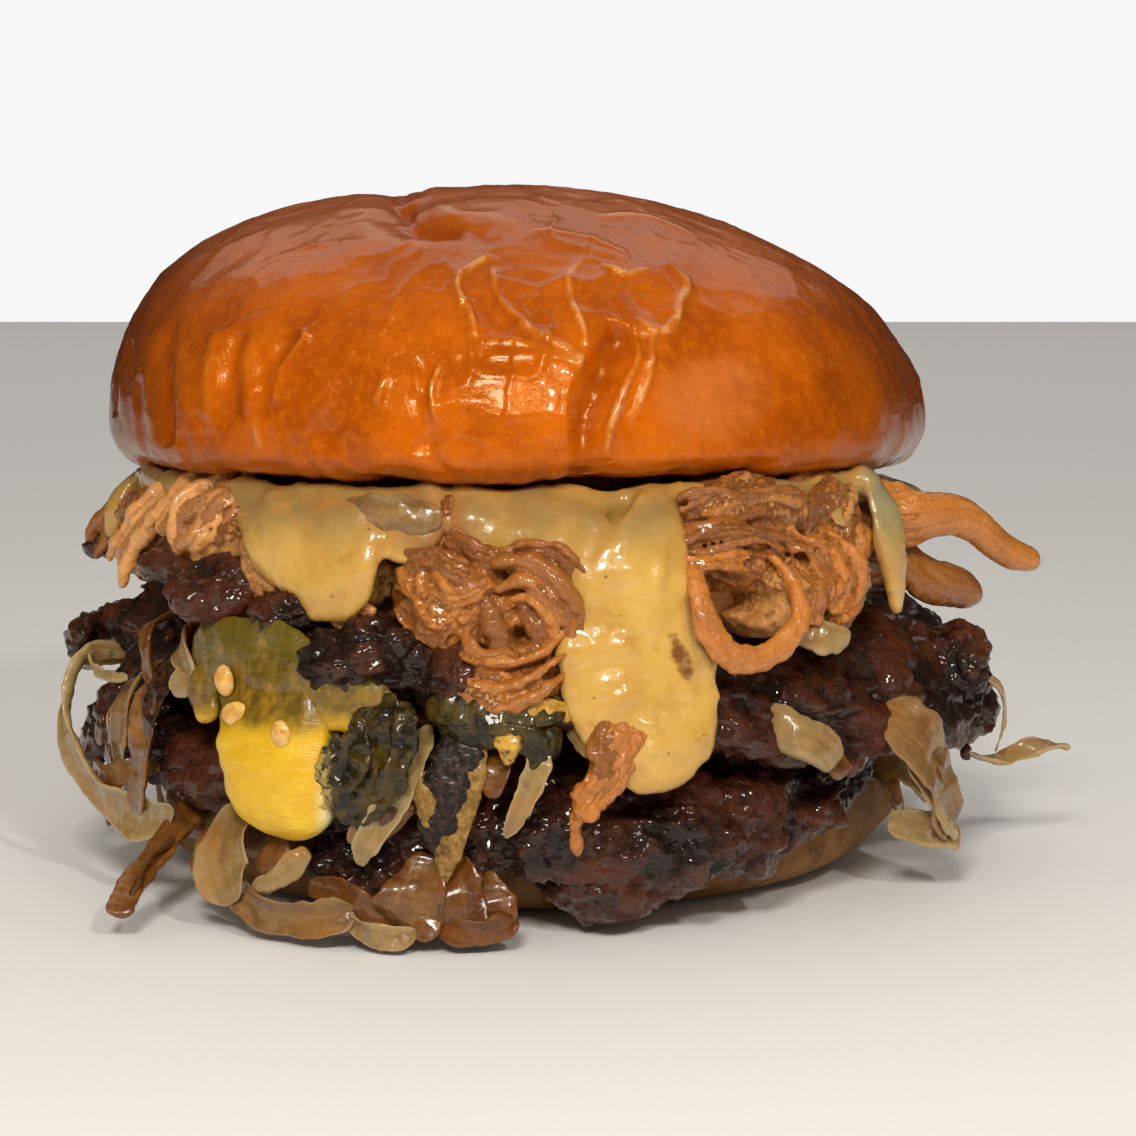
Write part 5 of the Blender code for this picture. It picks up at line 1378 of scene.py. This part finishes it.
# strips: points, widths, thickness, tint (0 burnt, 0.5 brown, 1 pale), curl of the section and, where it
# is given, how far the section is turned in radians
upperOnions = [
    # the big loop at the left, and what hangs inside it
    (at((-167, 49, 27), (-163, 59, 28.4), (-160.5, 62.3, 24), (-158.5, 62.8, 18.4), (-154, 61, 13),
        (-148.5, 59, 10.4), (-142, 58.6, 10.2), (-136.5, 58.4, 12.4)),
     [3.2, 3.6, 4, 4.4, 4.8, 5.4, 5.4, 3.4], 1.4, 1, 0.14),
    (at((-164, 54, 28), (-160.5, 59, 28.6), (-154, 59.5, 27.4), (-147, 58.5, 27.8)),
     [1.4, 1.4, 1.2, 1.2], 0.9, 1, 0),
    (at((-150, 50, 29), (-149, 56.5, 27), (-149.5, 58.5, 21.5), (-150.5, 58, 15), (-148, 57.6, 11)),
     [3, 3.4, 3.4, 3.4, 3], 1.1, 0.72, 0.1),
    (at((-144, 51, 31), (-142.5, 57, 27.6), (-142, 59, 22), (-142.5, 59.2, 16), (-144.5, 59, 11)),
     [2.8, 3.8, 4.4, 4.6, 3.6], 1.2, 0.62, 0.12),
    (at((-140, 52, 33), (-139.5, 56.5, 29.5), (-141, 58.6, 24), (-142, 58.6, 18)),
     [2.8, 3.2, 3, 2.2], 1.1, 0.12, 0.05),
    (at((-147, 50, 36), (-146, 55.5, 34.5), (-144, 57.2, 31), (-142.5, 57.6, 27.6)),
     [2.6, 3.4, 3, 2.2], 1.1, 0.55, 0.1),
    (at((-141, 52, 34), (-137, 56.5, 33), (-134, 57.6, 30), (-137, 58, 27.4)),
     [3.2, 4.2, 3.8, 2.4], 1.2, 0.85, 0.1),
    (at((-156, 50, 25), (-155, 57.5, 22), (-153, 58, 17.5), (-156, 58, 14)),
     [3.4, 4.2, 3.8, 2.4], 1.4, 0.45, 0.08),
    (at((-161, 50, 24), (-160, 57, 22), (-158, 58.4, 17)), [3.2, 3.6, 2.6], 1.6, 0.3, 0.05),
    (at((-146, 50, 17), (-148, 57.8, 15.5), (-153, 59.5, 13.8), (-157, 59.8, 14.4)),
     [2.4, 3, 2.8, 2], 1.2, 0.6, 0.08),
    # burnt bits at the far left
    (at((-171, 49, 31), (-170, 55.5, 31.6), (-168.5, 59.4, 30), (-168, 60.6, 27)),
     [5.6, 6, 5, 3], 3.2, 0.06, 0),
    (at((-178, 48, 28), (-177, 54, 29), (-175, 58.4, 27.5), (-174, 59.4, 24.6)),
     [6.6, 7, 5.4, 3], 3.2, 0.04, 0),
    (at((-174, 48, 22), (-173, 55, 20), (-172, 58.2, 15.4), (-172, 58, 11)), [6.6, 7.4, 6, 3], 3, 0.1, 0),
    (at((-166, 48, 22), (-165, 56, 19), (-164.5, 59, 13.4)), [6.5, 7, 3.6], 3, 0.18, 0),
    (at((-176, 49, 42), (-175, 55, 43), (-173, 58.4, 40.5)), [5, 5.6, 3], 3, 0.04, 0),
    # small pieces under the front knot and between the peppers and the burnt strip
    (at((-99.5, 56, 26), (-100.5, 61, 22), (-102.4, 62.6, 17.8), (-105, 62.8, 13.2), (-106.5, 61.6, 9.6)),
     [2, 3.2, 3.6, 3.2, 1.8], 1.1, 0.98, 0.12),
    (at((-103, 56, 25), (-103.4, 60.8, 21), (-105, 62.2, 16.6), (-107.5, 62.2, 12.4)),
     [2, 2.6, 2.6, 1.8], 1, 0.7, 0.1),
    (at((-101, 57, 21), (-101.6, 61.8, 17.5), (-103.5, 62.6, 13.4)), [2.4, 3.2, 2], 1.2, 0.22, 0.05),
    (at((-88, 57, 27), (-86.4, 61.2, 24.4), (-87, 62.4, 20.4), (-88.8, 62.4, 16.4), (-90, 61.8, 13.6)),
     [1.6, 2.6, 2.8, 2, 1], 0.9, 0.92, 0.15),
    (at((-92, 57, 24.5), (-91, 61.2, 22), (-91.6, 62, 18.5)), [3, 3.4, 2.2], 1.2, 0.5, 0.08),
    (front((-20, 51.8, 54.4), (-16, 51.4, 56), (-11.5, 51, 56.4), (-7.5, 50.6, 55.8)),
     [3, 4.6, 4.6, 3.2], 1.8, 0.75, -0.1),
    (at((-82.5, 58, 26), (-80.5, 60.8, 24.6), (-79, 61.2, 23.4)), [2.4, 2.8, 2], 1.4, 0.9, 0),
    # the pale chunk right of the sauce
    (at((-57, 54, 25.4), (-55, 60, 24.2), (-51.5, 62, 22), (-49, 61.4, 19.8)),
     [3.6, 4.6, 4.8, 3.6], 3.6, 0.85, 0),
    (at((-50, 54, 22), (-48.5, 60, 20), (-47, 61.2, 17.6)), [2.8, 3.4, 2.2], 1.6, 0.6, 0.05),
    (at((-53, 55, 37.5), (-50, 59.8, 35.4), (-46, 60.6, 34.6)), [3.2, 3.8, 2.4], 1.8, 0.9, 0),
    # the drape at the right
    (at((-39.5, 50, 24.5), (-38, 59.6, 24.2), (-36, 63.8, 21), (-33.6, 65, 16.4), (-31.2, 65.2, 11.4),
        (-29.4, 65, 7.2)),
     [4.2, 6.4, 7.6, 7.6, 6.4, 4.6], 1.6, 0.7, 0.08),
    (at((-36.5, 52, 24), (-34.8, 60.5, 23.2), (-32.6, 64.4, 19), (-30.2, 65, 14)),
     [3, 4.4, 4.6, 3.4], 1.6, 0.62, 0.06),
    (at((-37, 63, 17.6), (-35, 65.4, 13), (-31.5, 65.8, 8.8), (-28.5, 65.4, 6.8)),
     [1.2, 1.3, 1.3, 1], 0.9, 0.98, 0),
    (at((-33, 58, 9), (-30.5, 64, 8), (-27.5, 65.6, 6.2)), [3.6, 4.2, 2.8], 1.4, 0.97, 0.06),
    # the thin thread that sticks out at the right
    (at((-14, 60, 17), (-9.5, 63.5, 13.4), (-7, 67.2, 12.4), (-5.2, 71, 13.6), (-4.2, 74.2, 13.8),
        (-3.6, 76.8, 13.4)),
     [2.2, 2.4, 2.2, 2.4, 2.6, 2.2], 1.3, 1, 0.05, 1.1),
    (at((-17, 64, 27), (-13, 67, 23.5), (-11, 67.6, 18.8), (-9.8, 66.4, 14)),
     [1, 1.2, 1.1, 1], 0.8, 0.95, 0),
    # the back
    (at((40, 48, 27), (42, 57.5, 26), (46, 61.4, 19), (52, 60.6, 11)), [4.4, 5, 4.4, 2.6], 1.3, 0.8, 0.12),
    (at((34, 48, 26), (35, 58, 22), (37, 60.4, 15)), [3, 3.6, 2.2], 1.3, 0.5, 0.1),
    (at((88, 48, 27), (92, 58, 24.6), (98, 60.4, 18)), [4, 4.6, 2.8], 1.3, 0.7, 0.12),
    (at((104, 48, 26), (103, 58, 23), (99, 60.4, 15)), [3, 3.4, 2], 1.3, 0.95, 0.1),
    (at((128, 48, 27), (131, 57.6, 25.4), (136, 60.2, 17), (142, 57.8, 11)),
     [4.4, 5.4, 4.6, 2.8], 1.3, 0.65, 0.12),
    (at((152, 48, 26), (152, 57.5, 22), (149, 58.8, 14)), [3.4, 4, 2.4], 1.3, 0.9, 0.1),
    (at((160, 48, 27), (160, 56.8, 23.4), (158, 59.4, 15)), [5, 5.4, 3.2], 1.5, 0.3, 0.08),
    (at((70, 48, 26), (69, 57.5, 23), (66, 59.6, 16)), [3.4, 4, 2.4], 1.3, 0.85, 0.1),
    (at((14, 50, 25), (14, 60.5, 20), (12, 62.5, 13)), [3.6, 4.2, 2.4], 1.3, 0.75, 0.1),
]
lowerOnions = [
    # the strips that run out at the front left
    (at((-139, 49, 12), (-137.5, 55, 11), (-136, 59.6, 8.8), (-134, 65, 6.4), (-131.5, 70.5, 4),
        (-130.2, 73, 2.6)),
     [3.8, 3.6, 3.2, 3, 3.2, 4], 2.4, 0.55, 0.1, 1.15),
    (at((-134.5, 60, 9.4), (-133, 65, 7.4), (-130.6, 70.5, 4.6)), [1.4, 1.6, 1.2], 1, 0.2, 0),
    # the clear petal, and a smaller one behind it
    (front((-32.6, 14.5, 57.5), (-34.2, 11.4, 60.4), (-34.8, 7.2, 62.2), (-33, 3.8, 62.6)),
     [4.6, 6.6, 7, 4.6], 1.1, 0.8, 0.12),
    (at((-129, 50, 12), (-129.5, 57.6, 9.6), (-128.5, 60.6, 5.4)), [4, 4.6, 3.4], 1.2, 0.6, 0.1),
    # amber and white bits beside it
    (front((-29.5, 13, 56), (-28.6, 10, 60), (-28, 6.6, 61)), [4, 4.6, 3.4], 1.6, 0.55, 0.05),
    (front((-30.8, 5.4, 61.6), (-28.6, 6.9, 62.8), (-26.2, 8.8, 62.8), (-23.8, 11, 61.8)),
     [1.6, 2.2, 2.8, 2.2], 1.5, 1.1, 0),
    # the band along the table, and what is crushed in beside it
    (front((-33.6, 5.6, 60), (-31, 3.4, 62.4), (-26, 2.9, 63.4), (-21, 3.4, 63.4), (-18.2, 4.4, 62)),
     [2.6, 3.8, 4.4, 4.2, 2.6], 1.2, 0.7, 0.18),
    (front((-24, 6.2, 60), (-19.4, 6, 61.6), (-16.2, 4.2, 62.2), (-13.6, 2.2, 62)),
     [2.6, 3.6, 3.4, 2], 1.3, 0.5, 0.12),
    (front((-20.2, 3.4, 61.6), (-16.6, 1.9, 63.4), (-13, 1.6, 63.6), (-10.6, 2.2, 62.6)),
     [1.8, 2.6, 2.8, 1.6], 1.1, 0.82, 0.1),
    (front((-9.4, 11, 59), (-10.4, 7.6, 61.6), (-11.6, 4.4, 62.4), (-12.4, 1.9, 62)),
     [3.4, 6.2, 8, 6.8], 1.1, 0.6, 0.06),
    (front((-6, 10.6, 58.6), (-5.6, 7.4, 60.8), (-5, 4.2, 61.6), (-4.6, 1.8, 61.4)),
     [3.4, 5, 5.6, 4.6], 1.4, 0.42, 0.05),
    (front((-2.6, 8.6, 58.6), (-1.2, 5.4, 60.4), (-0.6, 2.4, 60.6)), [3, 4.6, 4], 1.8, 0.32, 0.05),
    (front((-9.6, 3.4, 60.6), (-5.6, 2.2, 62), (-1, 2.6, 61.8), (1.4, 3.4, 60.6)),
     [2, 3, 3, 2], 1.4, 0.45, 0.1),
    # right and back
    (at((-24, 44, 15), (-22, 52.8, 12.6), (-23, 56, 7)), [4, 4.6, 3], 1.3, 0.7, 0.1),
    (at((-14, 44, 15), (-12, 54, 12), (-9, 57, 7)), [4, 4.6, 3], 1.3, 0.9, 0.1),
    (at((100, 44, 15), (102, 52, 12.5), (106, 57, 5)), [4.6, 5, 3], 1.3, 0.75, 0.12),
    (at((150, 44, 15), (150, 52, 12.5), (146, 57, 5)), [4.6, 5, 3], 1.3, 0.85, 0.12),
    (at((-165, 44, 15), (-166, 52, 12.5), (-163, 57, 5)), [5, 5.6, 3.6], 1.5, 0.55, 0.12),
    (at((60, 44, 15), (59, 52, 12.5), (62, 56.5, 5)), [4.4, 4.6, 2.8], 1.3, 0.65, 0.12),
    (at((28, 44, 15), (29, 52.5, 12.5), (32, 55.5, 6)), [4, 4.4, 2.6], 1.3, 0.9, 0.12),
]


def onionBundle(sheet, strips, salt):
    # a thin rumpled sheet between the layers, with soft curved strips laid over its edge
    layer, out = layerRings(sheet, 220, 14, lambda points: 0.5 * roughNoise(points, 5, 2, salt))
    bodies = [body(layer, np.clip(0.5 + 0.5 * softNoise(layer, 6, salt + 1), 0, 1), out)]
    for number, (points, widths, thick, tint, curl, *turned) in enumerate(strips):
        steps = 22 * len(points)
        if tint < 0.2 and thick > 2:
            # a burnt piece is thick, rough and jagged
            look = {"rough": 0.75, "roughSize": 2.4, "jag": 0.25}
        else:
            wave = np.sin(np.linspace(0, 2.2 * len(points), steps) + number)[None, :]
            look = {"rough": 0.3, "roughSize": 2.6, "jag": 0.08, "roll": 0.2 * wave + sum(turned)}
            widths, thick = np.array(widths) * 1.12, 0.68 * thick
        bodies.append(ribbon(points, widths, thick, steps, columns=22, blunt=7, square=0.75, curl=1.4 * curl,
                             wrap=40, salt=salt + 5 + number, tint=[tint], **look))
    return joined(bodies)


def softOnion():
    onion = Finish("softOnion", {"Specular IOR Level": 0.35, "Coat Weight": 0.7, "Coat IOR": 1.4,
                                 "Coat Roughness": 0.08, "Subsurface Weight": 0.35,
                                 "Subsurface Scale": 0.002, "Subsurface Radius": (1.0, 0.6, 0.25)})
    places = onion.places()
    lay = onion.layPlaces((1, 0.08, 1))
    tint, edge = onion.own("tint"), onion.own("edge")
    grain = onion.noise(lay, 1.1, 3, 0.5)
    blotch = onion.noise(places, 4, 3, 0.6)
    fine = onion.noise(places, 1.0, 4, 0.65)
    brown = onion.mix(grain.step(0.35, 0.7), (0.12, 0.036, 0.005), (0.2, 0.072, 0.011))
    pale = onion.mix(grain.step(0.35, 0.65), (0.32, 0.195, 0.067), (0.4, 0.26, 0.1))
    veins = onion.noise(lay, 0.5, 3, 0.6).step(0.52, 0.66)
    onion.colour = onion.mix((tint + (blotch - 0.5) * 0.5).step(0.5, 0.95), brown, pale)
    onion.paint(edge.step(0.7, 1.0) * blotch.step(0.45, 0.65) * (1 - tint.step(0.6, 0.85)) * 0.7,
                (0.16, 0.05, 0.01))
    onion.paint(veins * tint.step(0.4, 0.9) * 0.1, (0.52, 0.38, 0.18))
    # painted highlight: the edges of the pale strips lighter, as if catching the light
    onion.paint(edge.step(0.6, 1.0) * tint.step(0.6, 0.9) * 0.45, (0.55, 0.42, 0.22))
    amber = onion.noise(places, 8, 3, 0.5).step(0.5, 0.66)
    onion.paint(amber * 0.5, (0.34, 0.13, 0.015))
    brownEnds = onion.noise(places, 3.2, 4, 0.65).step(0.54, 0.66)
    onion.paint(brownEnds * (0.6 - 0.4 * tint.step(0.6, 0.9)), (0.15, 0.055, 0.011))
    char = onion.mix(fine.step(0.4, 0.7), (0.016, 0.006, 0.003), (0.085, 0.03, 0.011))
    onion.paint((1 - tint.step(0.12, 0.34)) * 0.95, char)
    onion.paint(fine.step(0.62, 0.72) * (0.5 - 0.35 * tint.step(0.6, 0.9)), (0.08, 0.028, 0.008))
    rough = 0.18 + 0.28 * fine.step(0.35, 0.75)
    skin = onion.bump(grain, 0.12, 0.5)
    skin = onion.bump(fine, 0.2, 0.5, skin)
    return onion.feed({"Roughness": rough, "Normal": skin})


onionSkin = softOnion()
makePiece("onionsUpper", onionBundle(upperSheet, upperOnions, 300), onionSkin, "upper_onions")
makePiece("onionsLower", onionBundle(lowerSheet, lowerOnions, 400), onionSkin, "lower_onions")


def makeStage():
    bpy.ops.mesh.primitive_plane_add(size=3, location=(0, 0, -0.0006))
    floor = bpy.context.object
    floor.name = "floor"
    paper = Finish("paleFloor", {"Roughness": 0.7, "Base Color": (0.93, 0.93, 0.93, 1)})
    floor.data.materials.append(paper.material)


def addLamp(name, place, aim, width, height, power, colour):
    # an area lamp, turned to face its aim
    lamp = bpy.data.lights.new(name, "AREA")
    lamp.shape = "RECTANGLE"
    lamp.size, lamp.size_y = width, height
    lamp.energy = power
    lamp.color = colour
    holder = bpy.data.objects.new(name, lamp)
    bpy.context.scene.collection.objects.link(holder)
    away = np.array(place) - np.array(aim)
    holder.location = place
    holder.rotation_euler = (math.acos(away[2] / np.linalg.norm(away)), 0,
                             math.atan2(away[1], away[0]) + math.pi / 2)


# strengths of the light from the front and above, of that from behind, of the backdrop, and the share of
# the light that shows in reflections
room = {"front": 0.43, "back": 0.14, "seen": 0.93, "mirrored": 0.14}


def makeRoom():
    # soft light all round, brighter from the front and above; the backdrop itself is plain and pale
    world = bpy.context.scene.world or bpy.data.worlds.new("room")
    bpy.context.scene.world = world
    world.use_nodes = True
    world.node_tree.nodes.clear()
    sky = Tree(world.node_tree)
    coords = sky.node("TexCoord", {}, {}, "Generated")
    towards = sky.node("VectorMath", {"operation": "DOT_PRODUCT"}, {0: coords, 1: (-0.1, -0.42, 0.9)},
                       "Value")
    level = sky.node("MapRange", {"interpolation_type": "SMOOTHSTEP"},
                     {"Value": towards, "From Min": -0.25, "From Max": 0.85,
                      "To Min": room["back"], "To Max": room["front"]})
    glossy = sky.node("LightPath", {}, {}, "Is Glossy Ray")
    dimmed = sky.node("MapRange", {}, {"Value": glossy, "To Min": 1.0, "To Max": room["mirrored"]})
    lit = sky.node("Background", {}, {"Color": (1.0, 0.95, 0.87, 1), "Strength": level * dimmed})
    seen = sky.node("Background", {}, {"Color": (1, 1, 1, 1), "Strength": room["seen"]})
    toCamera = sky.node("LightPath", {}, {}, "Is Camera Ray")
    sky.node("OutputWorld", {}, {"Surface": sky.node("MixShader", {}, {0: toCamera, 1: lit, 2: seen})})


makeStage()
makeRoom()
addLamp("keyLamp", (-0.05, -0.52, 0.4), (0, 0, 0.055), 0.12, 0.12, 1.9, (1.0, 0.94, 0.85))
addLamp("sideLamp", (0.2, -0.46, 0.38), (0, 0, 0.055), 0.035, 0.05, 0.8, (1.0, 0.95, 0.88))
addLamp("topLamp", (0.0, 1.2, 1.25), (0, 0.6, 0.0), 1.8, 1.0, 3.6, (1.0, 0.99, 0.97))

camera = bpy.data.objects.new("camera", bpy.data.cameras.new("camera"))
bpy.context.scene.collection.objects.link(camera)
camera.data.sensor_width = 36
camera.data.lens = 92.3
camera.data.clip_start = 0.01
camera.location = (0.0074, -0.4, 0.091)
camera.rotation_euler = (math.radians(90 - 7.59), 0, 0)
bpy.context.scene.camera = camera
bpy.context.scene.view_settings.view_transform = "Standard"
print("stage set")
